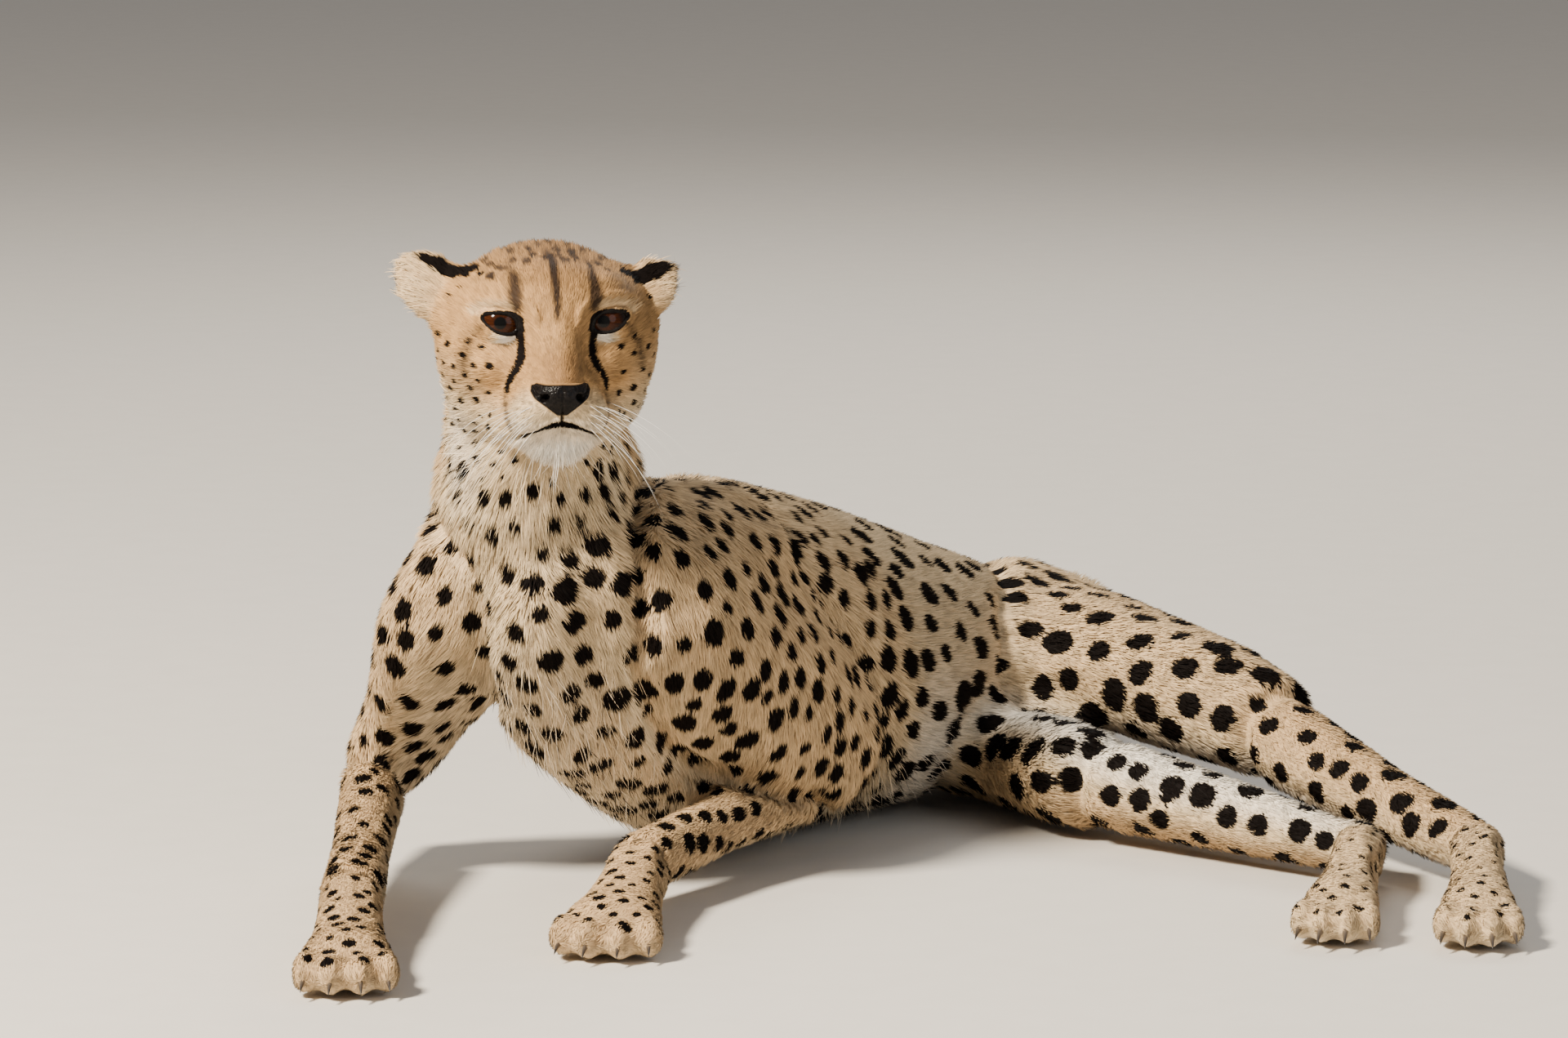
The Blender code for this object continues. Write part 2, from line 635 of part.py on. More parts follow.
def limb_space(rows, broad, grow):
    """The plain, slightly larger form that takes a limb off the trunk."""
    wider = np.array(rows) + np.array((0.0, 0.0, 0.0, CELL_MARGIN, CELL_MARGIN))
    thing = add_object("space", limb("space", wider, broad))
    even = thing.modifiers.new("even", "REMESH")
    even.mode = "VOXEL"
    even.voxel_size = CELL_VOXEL
    soft = thing.modifiers.new("soft", "SMOOTH")
    soft.iterations = CELL_EASE
    bake_modifiers(thing)
    thin = thing.modifiers.new("thin", "DECIMATE")
    thin.ratio = CELL_TRIANGLES / (2 * len(thing.data.polygons))
    bake_modifiers(thing)
    mesh = thing.data.copy()
    bpy.data.objects.remove(thing, do_unlink=True)
    outward = [vertex.normal.copy() for vertex in mesh.vertices]
    for vertex, way in zip(mesh.vertices, outward):
        vertex.co += way * grow
    return mesh


def take_off(body, name, rows, broad):
    """Takes a limb off a body along the limb's own form, and returns it."""
    part = add_object(name, body.data.copy())
    cut(part, limb_space(rows, broad, 0.0), "INTERSECT")
    cut(body, limb_space(rows, broad, CELL_GAP))
    return part


def floor_block():
    """Everything under the floor."""
    work = bmesh.new()
    bmesh.ops.create_cube(work, size=4.0, matrix=Matrix.Translation((0, 0, -2.0)))
    mesh = bpy.data.meshes.new("floor")
    work.to_mesh(mesh)
    work.free()
    return mesh


def ear_disc(sign):
    """The cut at an ear's root."""
    matrix = ear_matrix(sign)
    way = matrix.to_3x3() @ Vector((0, 0, 1))
    return disc(matrix @ Vector(EAR_CUT), way, EAR_CUT_RADIUS)


def loose_pieces(body):
    """The separate bodies of a mesh, as lists of face indices."""
    work = bmesh.new()
    work.from_mesh(body.data)
    work.faces.ensure_lookup_table()
    seen = set()
    pieces = []
    for start in work.faces:
        if start.index in seen:
            continue
        todo = [start]
        seen.add(start.index)
        piece = []
        while todo:
            face = todo.pop()
            piece.append(face.index)
            for edge in face.edges:
                for other in edge.link_faces:
                    if other.index not in seen:
                        seen.add(other.index)
                        todo.append(other)
        pieces.append(piece)
    work.free()
    return pieces


def piece_mesh(body, faces, name):
    """One separate body as a mesh of triangles."""
    source = body.data
    used = {}
    points = []
    polygons = []
    for index in faces:
        corners = []
        for v in source.polygons[index].vertices:
            if v not in used:
                used[v] = len(points)
                points.append(source.vertices[v].co.copy())
            corners.append(used[v])
        polygons.append(corners)
    mesh = bpy.data.meshes.new(name)
    mesh.from_pydata(points, [], polygons)
    work = bmesh.new()
    work.from_mesh(mesh)
    bmesh.ops.triangulate(work, faces=work.faces)
    bmesh.ops.remove_doubles(work, verts=work.verts, dist=0.00005)
    bmesh.ops.dissolve_degenerate(work, edges=work.edges, dist=0.00005)
    bmesh.ops.triangulate(work, faces=work.faces)
    work.to_mesh(mesh)
    work.free()
    return mesh


def nearest_seed(middle):
    """The name of the seed nearest to a point."""
    names = dict(SEEDS)
    names["ear_left"] = tuple(ear_matrix(1) @ Vector((0, 0, 0.034)))
    names["ear_right"] = tuple(ear_matrix(-1) @ Vector((0, 0, 0.034)))
    return min(names, key=lambda name: (Vector(names[name]) - middle).length)


def volume(mesh):
    """The space a closed mesh takes."""
    work = bmesh.new()
    work.from_mesh(mesh)
    space = work.calc_volume()
    work.free()
    return space


def paint(thing, material):
    """Gives an object one material."""
    thing.data.materials.clear()
    thing.data.materials.append(material)


def make_material(name, colour, roughness):
    """A plain material."""
    material = bpy.data.materials.new(name)
    material.use_nodes = True
    shader = material.node_tree.nodes["Principled BSDF"]
    shader.inputs["Base Color"].default_value = (*colour, 1.0)
    shader.inputs["Roughness"].default_value = roughness
    material.diffuse_color = (*colour, 1.0)
    return material


def part_up(body):
    """Each separate solid of a body as an object of its own."""
    parts = []
    for faces in loose_pieces(body):
        mesh = piece_mesh(body, faces, "piece")
        if volume(mesh) > LEAST_PIECE:
            parts.append(add_object("piece", mesh))
    bpy.data.objects.remove(body, do_unlink=True)
    return parts


def name_pieces(parts, material):
    """Names the solids by their places."""
    made = set()
    for thing in parts:
        middle = sum((v.co for v in thing.data.vertices), Vector()) / len(thing.data.vertices)
        name = nearest_seed(middle)
        if name in made:
            raise RuntimeError(f"a second solid would be called {name}, at {middle}")
        made.add(name)
        thing.name = name
        thing.data.name = name
        paint(thing, material)
    if len(made) != len(SEEDS) + 2:
        raise RuntimeError(f"only these solids came out: {sorted(made)}")


def centre_all():
    """Moves everything so that the origin is under the middle, on the floor."""
    points = [v.co for thing in bpy.data.objects for v in thing.data.vertices]
    low = Vector([min(p[i] for p in points) for i in range(3)])
    high = Vector([max(p[i] for p in points) for i in range(3)])
    shift = Vector((-(low.x + high.x) / 2, -(low.y + high.y) / 2, -low.z))
    for thing in bpy.data.objects:
        thing.data.transform(Matrix.Translation(shift))
    print("shift", [round(c, 5) for c in shift], "size", [round(c, 4) for c in high - low])


def part_body(body):
    """Parts the whole body into its named lengths."""
    for mesh in [disc(*JOINT_CUTS[name]) for name in JOINT_CUTS] + [ear_disc(-1), ear_disc(1)]:
        cut(body, mesh)
    parts = part_up(body)
    torso = min(parts, key=lambda part: -part.dimensions.x * part.dimensions.y)
    parts.remove(torso)
    for name, rows, broad in LIMB_CELLS:
        parts += part_up(take_off(torso, name, rows, broad))
    for name in TRUNK_CUTS:
        cut(torso, disc(*TRUNK_CUTS[name]))
    return parts + part_up(torso)


def main():
    clear_scene()
    coat = make_material("coat", (0.72, 0.52, 0.30), 0.9)
    eye_look = make_material("eye", (0.10, 0.04, 0.015), 0.15)
    horn = make_material("claw", (0.55, 0.47, 0.38), 0.5)

    body = whole_body()
    thin_out(body)
    cut(body, floor_block())
    small = {}
    for sign, side in ((-1, "right"), (1, "left")):
        middle = in_head(sign * EYE_SIDE, EYE_AHEAD, 0.0)
        cut(body, ball("socket", middle, [EYE_RADIUS + GAP] * 3))
        small["eye_" + side] = (ball("eye", middle, [EYE_RADIUS] * 3), eye_look)
    for foot in FEET:
        for i, (spread, reach) in enumerate(zip(TOE_SPREAD, TOE_REACH)):
            cut(body, claw_mesh(foot, spread, reach, GAP))
            small[f"claw_{foot}_{i + 1}"] = (claw_mesh(foot, spread, reach, 0.0), horn)
    name_pieces(part_body(body), coat)
    for name, (mesh, look) in small.items():
        paint(add_object(name, mesh), look)
    centre_all()


main()
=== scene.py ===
"""A resting cheetah's skin, coat, eyes, claws and whiskers, as a small Blender add-on.

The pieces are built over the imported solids, in the same frame, in metres. The
head's own axes are side (toward its left), ahead and up, from a middle between
the eyes.
"""

import itertools
import math

import bmesh
import bpy
import numpy as np
from bpy.props import FloatProperty, FloatVectorProperty, IntProperty, PointerProperty
from mathutils import Matrix, Vector
from mathutils.bvhtree import BVHTree
from mathutils.kdtree import KDTree


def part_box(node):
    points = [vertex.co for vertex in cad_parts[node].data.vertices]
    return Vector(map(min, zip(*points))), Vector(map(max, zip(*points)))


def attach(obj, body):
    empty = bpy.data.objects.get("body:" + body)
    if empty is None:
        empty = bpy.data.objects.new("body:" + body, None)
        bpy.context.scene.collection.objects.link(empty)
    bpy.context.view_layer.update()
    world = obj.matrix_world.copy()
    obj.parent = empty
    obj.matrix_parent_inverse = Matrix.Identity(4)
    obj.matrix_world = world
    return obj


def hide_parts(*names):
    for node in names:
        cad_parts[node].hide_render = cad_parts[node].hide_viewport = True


bl_info = {
    "name": "Resting cheetah",
    "version": (1, 0, 0),
    "blender": (4, 5, 0),
    "location": "View3D > Sidebar > Cheetah",
    "description": "Builds the skin, coat, eyes, claws and whiskers of a resting cheetah",
    "category": "Object",
}

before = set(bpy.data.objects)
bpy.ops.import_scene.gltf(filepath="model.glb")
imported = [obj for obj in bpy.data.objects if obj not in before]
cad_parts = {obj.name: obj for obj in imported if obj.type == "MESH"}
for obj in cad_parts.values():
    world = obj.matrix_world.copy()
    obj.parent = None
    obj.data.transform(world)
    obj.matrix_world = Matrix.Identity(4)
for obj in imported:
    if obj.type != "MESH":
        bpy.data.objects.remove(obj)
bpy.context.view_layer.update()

# ------------------------------------------------------------------ the animal's frame
HEAD_YAW = 9.0  # degrees, toward the animal's left
HEAD_NOD = 6.0  # degrees, nose down
EYE_AHEAD = 0.0215  # of the eyes' middles, in the head's own axes
EYE_RADIUS = 0.0172
GROW = 0.0005  # the solids are grown by this, so that the thin cuts between them close


def head_axes():
    """The head's axes as columns: side, back, up."""
    yaw = Matrix.Rotation(math.radians(HEAD_YAW), 3, "Z")
    nod = Matrix.Rotation(math.radians(HEAD_NOD), 3, "X")
    return np.array(yaw @ nod)


def node_middle(name):
    """The middle of a solid's box."""
    low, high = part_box(name)
    return np.array((low + high) / 2)


HEAD_AXES = head_axes()
HEAD_MIDDLE = (node_middle("eye_left") + node_middle("eye_right")) / 2
HEAD_MIDDLE = HEAD_MIDDLE - HEAD_AXES @ np.array((0.0, -EYE_AHEAD, 0.0))
# The camera stands low in front, five metres away.
CAMERA_FAR = 5.0
CAMERA_DOWN = 8.0  # degrees that it looks down
CAMERA_TARGET = HEAD_MIDDLE + np.array((0.1562, 0.1026, -0.1503))
_down = math.radians(CAMERA_DOWN)
CAMERA_AIM = np.array((0.0, math.cos(_down), -math.sin(_down)))
CAMERA_PLACE = CAMERA_TARGET - CAMERA_FAR * CAMERA_AIM
PIECE_TRIANGLES = 199000  # most triangles in one piece
HEAD_REACH = 0.13  # from the head's middle, within which the face is drawn
TONE_TOP = 1.35  # the browner end of the coat's tone; 0 is white and 1 tan
PUPIL = 0.24  # half width of the pupil, of the iris's scale
CLAW_RADIUS = 0.0032
CLAW_BEND = 0.0034
CLUMP_TUFTS = 9  # tufts in a clump, about
CLUMP_DRAW = 0.30  # share of the way that their tips are drawn together
TUFT_PATCH = 0.003  # size of a tuft's patch on the unwrap


def to_head(points):
    """Points as side, ahead and up in the head's own axes."""
    local = (np.asarray(points) - HEAD_MIDDLE) @ HEAD_AXES
    local[..., 1] *= -1
    return local


def from_head(local):
    """Points of the head's own axes, in the frame."""
    local = np.array(local, dtype=float)
    local[..., 1] *= -1
    return local @ HEAD_AXES.T + HEAD_MIDDLE


EYE_SUNK = np.array((0.0, -0.0030, 0.0))  # the eyeballs shown sit deeper than their solids
EYES = {
    1: to_head(node_middle("eye_left")) + EYE_SUNK,
    -1: to_head(node_middle("eye_right")) + EYE_SUNK,
}

# Region of each flesh solid: easing, coat depth, and where its hair runs to.
EASE_BODY, EASE_LIMB, EASE_FINE = 1.0, 0.35, 0.07
REGIONS = {
    "head": (EASE_FINE, 0.0030, "neck"),
    "neck": (0.6, 0.0065, "chest"),
    "chest": (EASE_BODY, 0.0070, "abdomen"),
    "abdomen": (EASE_BODY, 0.0070, "pelvis"),
    "pelvis": (EASE_BODY, 0.0065, "tail_base"),
    "ear_left": (0.30, 0.0010, "ear_left"),
    "ear_right": (0.30, 0.0010, "ear_right"),
    "tail_base": (0.45, 0.0050, "tail_middle"),
    "tail_middle": (0.35, 0.0050, "tail_rings"),
    "tail_rings": (0.35, 0.0050, "tail_tip"),
    "tail_tip": (0.30, 0.0055, "tail_tip"),
}
HAIR_FROM = {"tail_tip": "tail_rings"}  # where the hair of a last region comes from
for _side in ("left", "right"):
    HAIR_FROM["forepaw_" + _side] = "forearm_" + _side
    HAIR_FROM["hindfoot_" + _side] = "shin_" + _side
    REGIONS["upper_arm_" + _side] = (0.8, 0.0060, "forearm_" + _side)
    REGIONS["forearm_" + _side] = (EASE_LIMB, 0.0045, "forepaw_" + _side)
    REGIONS["forepaw_" + _side] = (EASE_FINE, 0.0022, "forepaw_" + _side)
    REGIONS["thigh_" + _side] = (0.7, 0.0060, "shin_" + _side)
    REGIONS["shin_" + _side] = (EASE_LIMB, 0.0045, "hindfoot_" + _side)
    REGIONS["hindfoot_" + _side] = (EASE_FINE, 0.0024, "hindfoot_" + _side)
REGION_NAMES = tuple(REGIONS)


def of_regions(*starts):
    """The indices of the regions whose names begin in one of these ways."""
    return [index for index, name in enumerate(REGION_NAMES) if name.startswith(starts)]


def by_region(table, other=None):
    """A table's rows in the order of the regions; a name without a side serves both sides."""
    rows = [table.get(name, table.get(name.rsplit("_", 1)[0], other)) for name in REGION_NAMES]
    return np.array(rows, dtype=float)


EARS = of_regions("ear_")
FEET = of_regions("forepaw", "hindfoot")
LIMBS_AND_TRUNK = of_regions(
    "neck", "chest", "abdomen", "pelvis", "upper_arm", "forearm", "thigh", "shin"
)
FINE = of_regions("head", "ear_", "forearm", "forepaw", "hindfoot")  # regions with finer cells

# Of each region's tufts: length, width, number to the square metre, lift in degrees.
COAT = {
    "head": (0.0110, 0.0010, 460000.0, 20.0),
    "neck": (0.0165, 0.0013, 300000.0, 24.0),
    "chest": (0.0115, 0.0013, 300000.0, 21.0),
    "abdomen": (0.0110, 0.0013, 290000.0, 21.0),
    "pelvis": (0.0110, 0.0013, 290000.0, 21.0),
    "ear": (0.0068, 0.0008, 620000.0, 18.0),
    "tail_base": (0.0115, 0.0013, 260000.0, 20.0),
    "tail_middle": (0.0115, 0.0013, 240000.0, 20.0),
    "tail_rings": (0.0115, 0.0013, 240000.0, 20.0),
    "tail_tip": (0.0130, 0.0013, 240000.0, 20.0),
    "upper_arm": (0.0105, 0.0012, 330000.0, 19.0),
    "forearm": (0.0080, 0.0010, 430000.0, 16.0),
    "forepaw": (0.0055, 0.0009, 560000.0, 14.0),
    "thigh": (0.0105, 0.0013, 290000.0, 19.0),
    "shin": (0.0085, 0.0010, 360000.0, 16.0),
    "hindfoot": (0.0055, 0.0009, 440000.0, 14.0),
}
FACE_TUFT = (0.0072, 0.00085, 700000.0, 14.0)
CHIN_TUFT = (0.0095, 0.0008, 650000.0, 16.0)
MUZZLE_TUFT = (0.0038, 0.00062, 1150000.0, 12.0)

# Long locks: number to the square metre, length, half width and lift in degrees.
LOCKS = (
    (38000.0, 0.023, 0.00034, 16.0),  # throat
    (60000.0, 0.013, 0.00032, 20.0),  # cheeks
    (42000.0, 0.021, 0.00036, 16.0),  # belly
    (52000.0, 0.0125, 0.00034, 34.0),  # crown
    (110000.0, 0.0100, 0.00028, 20.0),  # ears
)
# Of a lock's rings: part of the length, and share of the width.
LOCK_RINGS = ((0.0, 1.0), (0.3, 0.95), (0.6, 0.75), (0.85, 0.42), (1.0, 0.06))


# ------------------------------------------------------------------ settings
class SkinSettings(bpy.types.PropertyGroup):
    """How finely the skin is made."""

    fine_cell: FloatProperty(
        name="Reference cell",
        description="Grid of the fine form that the skin is laid on",
        default=0.0024,
        unit="LENGTH",
    )
    skin_cell: FloatProperty(
        name="Skin cell",
        description="Grid of the skin on the trunk and limbs",
        default=0.0062,
        unit="LENGTH",
    )
    ease_steps: IntProperty(
        name="Easing steps",
        description="Smoothing steps on the trunk; other regions take a share",
        default=80,
    )


def colour_setting(name, description, default):
    """A colour that a user may change."""
    return FloatVectorProperty(
        name=name,
        description=description,
        default=default,
        subtype="COLOR",
        size=3,
        min=0.0,
        max=1.0,
    )


class CoatSettings(bpy.types.PropertyGroup):
    """The coat's fullness and colours."""

    fullness: FloatProperty(
        name="Fullness", description="Share of the tufts that are made", default=1.0
    )
    stray: FloatProperty(
        name="Stray", description="Degrees that tufts stray from the coat's lie", default=8.0
    )
    seed: IntProperty(name="Seed", description="Start of the tufts' random places", default=3)
    white: colour_setting("White", "Belly, chin and throat", (0.76, 0.70, 0.60))
    cream: colour_setting("Cream", "Between the belly and the flank", (0.60, 0.455, 0.275))
    tan: colour_setting("Tan", "Back, crown and outer legs", (0.44, 0.250, 0.098))
    brown: colour_setting("Brown", "Bridge of the nose", (0.26, 0.140, 0.055))
    black: colour_setting("Black", "Spots and tear lines", (0.0035, 0.0024, 0.0020))
    black_tip: colour_setting("Black tips", "Hair tips in the spots", (0.0065, 0.0042, 0.0032))
    # Besides the streaks, this colour also paints the shade between the toes.
    dusk: colour_setting("Dusk", "Streaks of the forehead and cheeks", (0.024, 0.013, 0.007))


class EyeSettings(bpy.types.PropertyGroup):
    """The eyes' sizes and colours."""

    iris_radius: FloatProperty(
        name="Iris radius", description="Half width of the iris", default=0.0118, unit="LENGTH"
    )
    cornea: FloatProperty(
        name="Cornea", description="How far it stands out, of the eye's radius", default=0.035
    )
    iris: colour_setting("Iris", "Middle colour of the iris", (0.026, 0.0070, 0.0022))
    iris_dark: colour_setting("Iris dark", "Dark fibres of the iris", (0.012, 0.004, 0.002))
    iris_light: colour_setting("Iris light", "Light fibres of the iris", (0.046, 0.0135, 0.0038))


class WhiskerSettings(bpy.types.PropertyGroup):
    """The whiskers' number and size."""

    rows: IntProperty(name="Rows", description="Rows of whiskers on each pad", default=4)
    in_row: IntProperty(name="In a row", description="Whiskers in each row", default=5)
    length: FloatProperty(
        name="Length", description="Length of a whisker", default=0.064, unit="LENGTH"
    )
    radius: FloatProperty(
        name="Radius", description="Half width at the root", default=0.00017, unit="LENGTH"
    )


class StageSettings(bpy.types.PropertyGroup):
    """The floor, the lamps and the camera."""

    floor: colour_setting("Floor", "Colour of the floor", (0.62, 0.58, 0.52))
    floor_half: FloatProperty(
        name="Floor half width",
        description="From the middle to the floor's edge",
        default=40.0,
        unit="LENGTH",
    )
    key: FloatProperty(
        name="Key lamp", description="Watts, from the upper left front", default=770.0
    )
    fill: FloatProperty(name="Fill lamp", description="Watts, from the right front", default=55.0)
    back: FloatProperty(name="Back lamp", description="Watts, from behind", default=90.0)
    sky: FloatProperty(name="Sky", description="Strength of the light all round", default=0.28)
    lens: FloatProperty(name="Lens", description="Focal length in millimetres", default=168.75)


# ------------------------------------------------------------------ numbers on meshes
def smoothstep(low, high, value):
    """0 below low, 1 above high, smooth between."""
    t = np.clip((value - low) / (high - low), 0.0, 1.0)
    return t * t * (3 - 2 * t)


def unit(vectors):
    """Vectors of length one."""
    return vectors / np.maximum(np.linalg.norm(vectors, axis=-1, keepdims=True), 1e-12)


def along_surface(ways, normals):
    """Ways turned into the surface's plane."""
    return unit(ways - (ways * normals).sum(1, keepdims=True) * normals)


def read_points(mesh):
    """A mesh's vertices as an array."""
    points = np.empty(len(mesh.vertices) * 3, np.float32)
    mesh.vertices.foreach_get("co", points)
    return points.reshape(-1, 3).astype(float)


def read_normals(mesh):
    """A mesh's vertex normals as an array."""
    normals = np.empty(len(mesh.vertices) * 3, np.float32)
    mesh.vertex_normals.foreach_get("vector", normals)
    return normals.reshape(-1, 3).astype(float)


def write_points(mesh, points):
    """Sets a mesh's vertices."""
    mesh.vertices.foreach_set("co", points.astype(np.float32).ravel())
    mesh.update()


def set_attribute(mesh, name, values):
    """A number for each vertex, under a name."""
    attribute = mesh.attributes.new(name, "FLOAT", "POINT")
    attribute.data.foreach_set("value", values.astype(np.float32))


def read_numbers(mesh, name):
    """The numbers that a mesh's vertices carry under a name."""
    values = np.empty(len(mesh.vertices), np.float32)
    mesh.attributes[name].data.foreach_get("value", values)
    return values.astype(float)


def triangles_of(mesh):
    """A mesh's triangles as vertex indices."""
    mesh.calc_loop_triangles()
    corners = np.empty(len(mesh.loop_triangles) * 3, np.int32)
    mesh.loop_triangles.foreach_get("vertices", corners)
    return corners.reshape(-1, 3)


def triangle_areas(place):
    """The areas of triangles, from the points of their corners."""
    across = np.cross(place[:, 1] - place[:, 0], place[:, 2] - place[:, 0])
    return np.linalg.norm(across, axis=1) / 2


def random_shares(random, count):
    """Random places in triangles, as shares of the three corners."""
    a, b = random.random((2, count))
    fold = a + b > 1
    a, b = np.where(fold, 1 - a, a), np.where(fold, 1 - b, b)
    return np.stack((1 - a - b, a, b), axis=1)


def tree_of(points):
    """A search tree over points."""
    tree = KDTree(len(points))
    for index, point in enumerate(points):
        tree.insert(point, index)
    tree.balance()
    return tree


class Web:
    """Which vertices of a mesh are joined, for easing values over it."""

    def __init__(self, mesh):
        edges = np.empty(len(mesh.edges) * 2, np.int32)
        mesh.edges.foreach_get("vertices", edges)
        edges = edges.reshape(-1, 2)
        self.count = len(mesh.vertices)
        self.here = np.concatenate((edges[:, 0], edges[:, 1]))
        self.there = np.concatenate((edges[:, 1], edges[:, 0]))
        self.degree = np.maximum(np.bincount(self.here, minlength=self.count), 1)

    def mean(self, values):
        """Each vertex's mean over its neighbours."""
        if values.ndim == 1:
            return self._sum(values) / self.degree
        columns = [self._sum(values[:, k]) for k in range(values.shape[1])]
        return np.stack(columns, 1) / self.degree[:, None]

    def _sum(self, column):
        return np.bincount(self.here, weights=column[self.there], minlength=self.count)

    def ease(self, values, steps, share=0.5):
        """Values drawn toward their neighbours' mean, step by step."""
        if np.ndim(share) and values.ndim > 1:
            share = share[:, None]
        for _ in range(steps):
            values = values + share * (self.mean(values) - values)
        return values


# ------------------------------------------------------------------ objects
def add_object(name, data):
    """A new object in the scene that shows a mesh, a lamp or a camera."""
    thing = bpy.data.objects.new(name, data)
    bpy.context.scene.collection.objects.link(thing)
    return thing


def mesh_from_arrays(name, points, triangles):
    """A mesh of triangles, made in one go."""
    mesh = bpy.data.meshes.new(name)
    mesh.vertices.add(len(points))
    mesh.vertices.foreach_set("co", points.astype(np.float32).ravel())
    mesh.loops.add(3 * len(triangles))
    mesh.loops.foreach_set("vertex_index", triangles.astype(np.int32).ravel())
    mesh.polygons.add(len(triangles))
    mesh.polygons.foreach_set("loop_start", np.arange(0, 3 * len(triangles), 3, dtype=np.int32))
    mesh.update(calc_edges=True)
    return mesh


def modified(mesh, kind, **settings):
    """A mesh with a modifier applied to it."""
    thing = add_object("modified", mesh)
    modifier = thing.modifiers.new("modifier", kind)
    for name, value in settings.items():
        setattr(modifier, name, value)
    graph = bpy.context.evaluated_depsgraph_get()
    graph.update()
    made = bpy.data.meshes.new_from_object(thing.evaluated_get(graph))
    bpy.data.objects.remove(thing, do_unlink=True)
    return made


def remeshed(mesh, cell):
    """A mesh's outer form on an even grid."""
    return modified(mesh, "REMESH", mode="VOXEL", voxel_size=cell)


# ------------------------------------------------------------------ skin form
REGION_SEED = 5
AREA_PER_POINT = 2.5e-5  # of a solid's surface, for the points that tell the regions
LEAST_POINTS = 60  # on each solid, beside those by its area
REGION_EASING = 24  # steps by which easing and depth run into the next region's
DIVIDED_NEAR = (0.016, 0.0075)  # from the face's features, the cells are halved, and again


def grown_solids():
    """All solids as one mesh, each grown a little so that they overlap."""
    whole = bmesh.new()
    for name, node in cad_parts.items():
        part = bmesh.new()
        part.from_mesh(node.data)
        bmesh.ops.remove_doubles(part, verts=part.verts, dist=1e-5)
        bmesh.ops.recalc_face_normals(part, faces=part.faces)
        part.normal_update()
        places = [v.co + v.normal * GROW for v in part.verts]
        for vertex, place in zip(part.verts, places):
            vertex.co = place
        mesh = bpy.data.meshes.new(name)
        part.to_mesh(mesh)
        part.free()
        whole.from_mesh(mesh)
        bpy.data.meshes.remove(mesh)
    mesh = bpy.data.meshes.new("solids")
    whole.to_mesh(mesh)
    whole.free()
    return mesh


def region_tree():
    """A search tree over points on the flesh solids, and the region of each point."""
    random = np.random.default_rng(REGION_SEED)
    points, owners = [], []
    for index, name in enumerate(REGION_NAMES):
        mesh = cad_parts[name].data
        place = read_points(mesh)[triangles_of(mesh)]
        area = triangle_areas(place)
        count = int(area.sum() / AREA_PER_POINT) + LEAST_POINTS
        pick = random.choice(len(area), count, p=area / area.sum())
        shares = random_shares(random, count)
        points.append((place[pick] * shares[:, :, None]).sum(axis=1))
        owners.append(np.full(count, index))
    return tree_of(np.concatenate(points)), np.concatenate(owners)


def regions_of(points, tree, owners):
    """The region index of each point."""
    return np.array([owners[tree.find(point)[1]] for point in points])


def region_value(regions, column):
    """A region's value from the table for each vertex."""
    return np.array([row[column] for row in REGIONS.values()], dtype=float)[regions]


def reference_form(settings, tree, owners):
    """The fine form under the coat: smooth, and inset from the coat's tips."""
    mesh = remeshed(grown_solids(), settings.fine_cell)
    web = Web(mesh)
    points = read_points(mesh)
    regions = regions_of(points, tree, owners)
    easing = web.ease(region_value(regions, 0), REGION_EASING)
    depth = web.ease(region_value(regions, 1), REGION_EASING)
    points = web.ease(points, settings.ease_steps, 0.5 * easing)
    write_points(mesh, points)
    write_points(mesh, points - read_normals(mesh) * depth[:, None])
    return mesh


# ------------------------------------------------------------------ the face's drawing
# Places on the face are (side, up) in the head's own axes, in metres.
GAZE_TILT = 14.0  # degrees that the eyes' openings face up from the head's ahead axis
LID_INNER = (-0.0108, -0.0048)  # corners of the opening, outward and up of the eye's middle
LID_OUTER = (0.0114, 0.0034)
LID_ARCH = (0.0052, 0.34, -1.40)  # upper lid over the corners' line: height, squareness, lean
LID_SAG = (0.0050, 0.78, 0.68)  # lower lid under it
LID_SHIFT = 0.0016  # the left eye's opening lies this much farther out
LID_STEPS = 24
EYE_FRONT = 0.002  # the lids lie ahead of this, from the eye's middle
FAR = 0.05  # a distance that no feature of the face reaches
NOSE_TOP = -0.0295
NOSE_LOW = -0.0503
NOSE_HALF = 0.0200
NOSE_FRONT = 0.055  # the nose pad and the groove under it lie ahead of this
# Of the nose pad: part of the way down, and share of the half width.
NOSE_PROFILE = ((0.0, 0.72), (0.12, 0.93), (0.30, 1.0), (0.48, 0.90), (0.72, 0.52), (1.0, 0.16))
NOSTRIL = (0.0118, -0.0385)
NOSTRIL_SLIT = ((0.0125, -0.0385), (0.0165, -0.0365), (0.0178, -0.0335))
PHILTRUM_LOW = -0.0570
MOUTH = ((0.0, -0.0570), (0.006, -0.0578), (0.0130, -0.0604), (0.0240, -0.0660))
JAW_LINE = ((0.062, -0.0660), (0.047, -0.0715), (0.032, -0.0725), (0.020, -0.0690))  # ahead, up
TEAR = (  # side, up and half width
    (0.0240, -0.0018, 0.0024),
    (0.0233, -0.0107, 0.0026),
    (0.0231, -0.0180, 0.0027),
    (0.0256, -0.0242, 0.0026),
    (0.0295, -0.0300, 0.0021),
    (0.0320, -0.0354, 0.0018),
    (0.0331, -0.0415, 0.0014),
)
LEFT_SHIFT = 0.0022  # the left tear line runs this much farther out
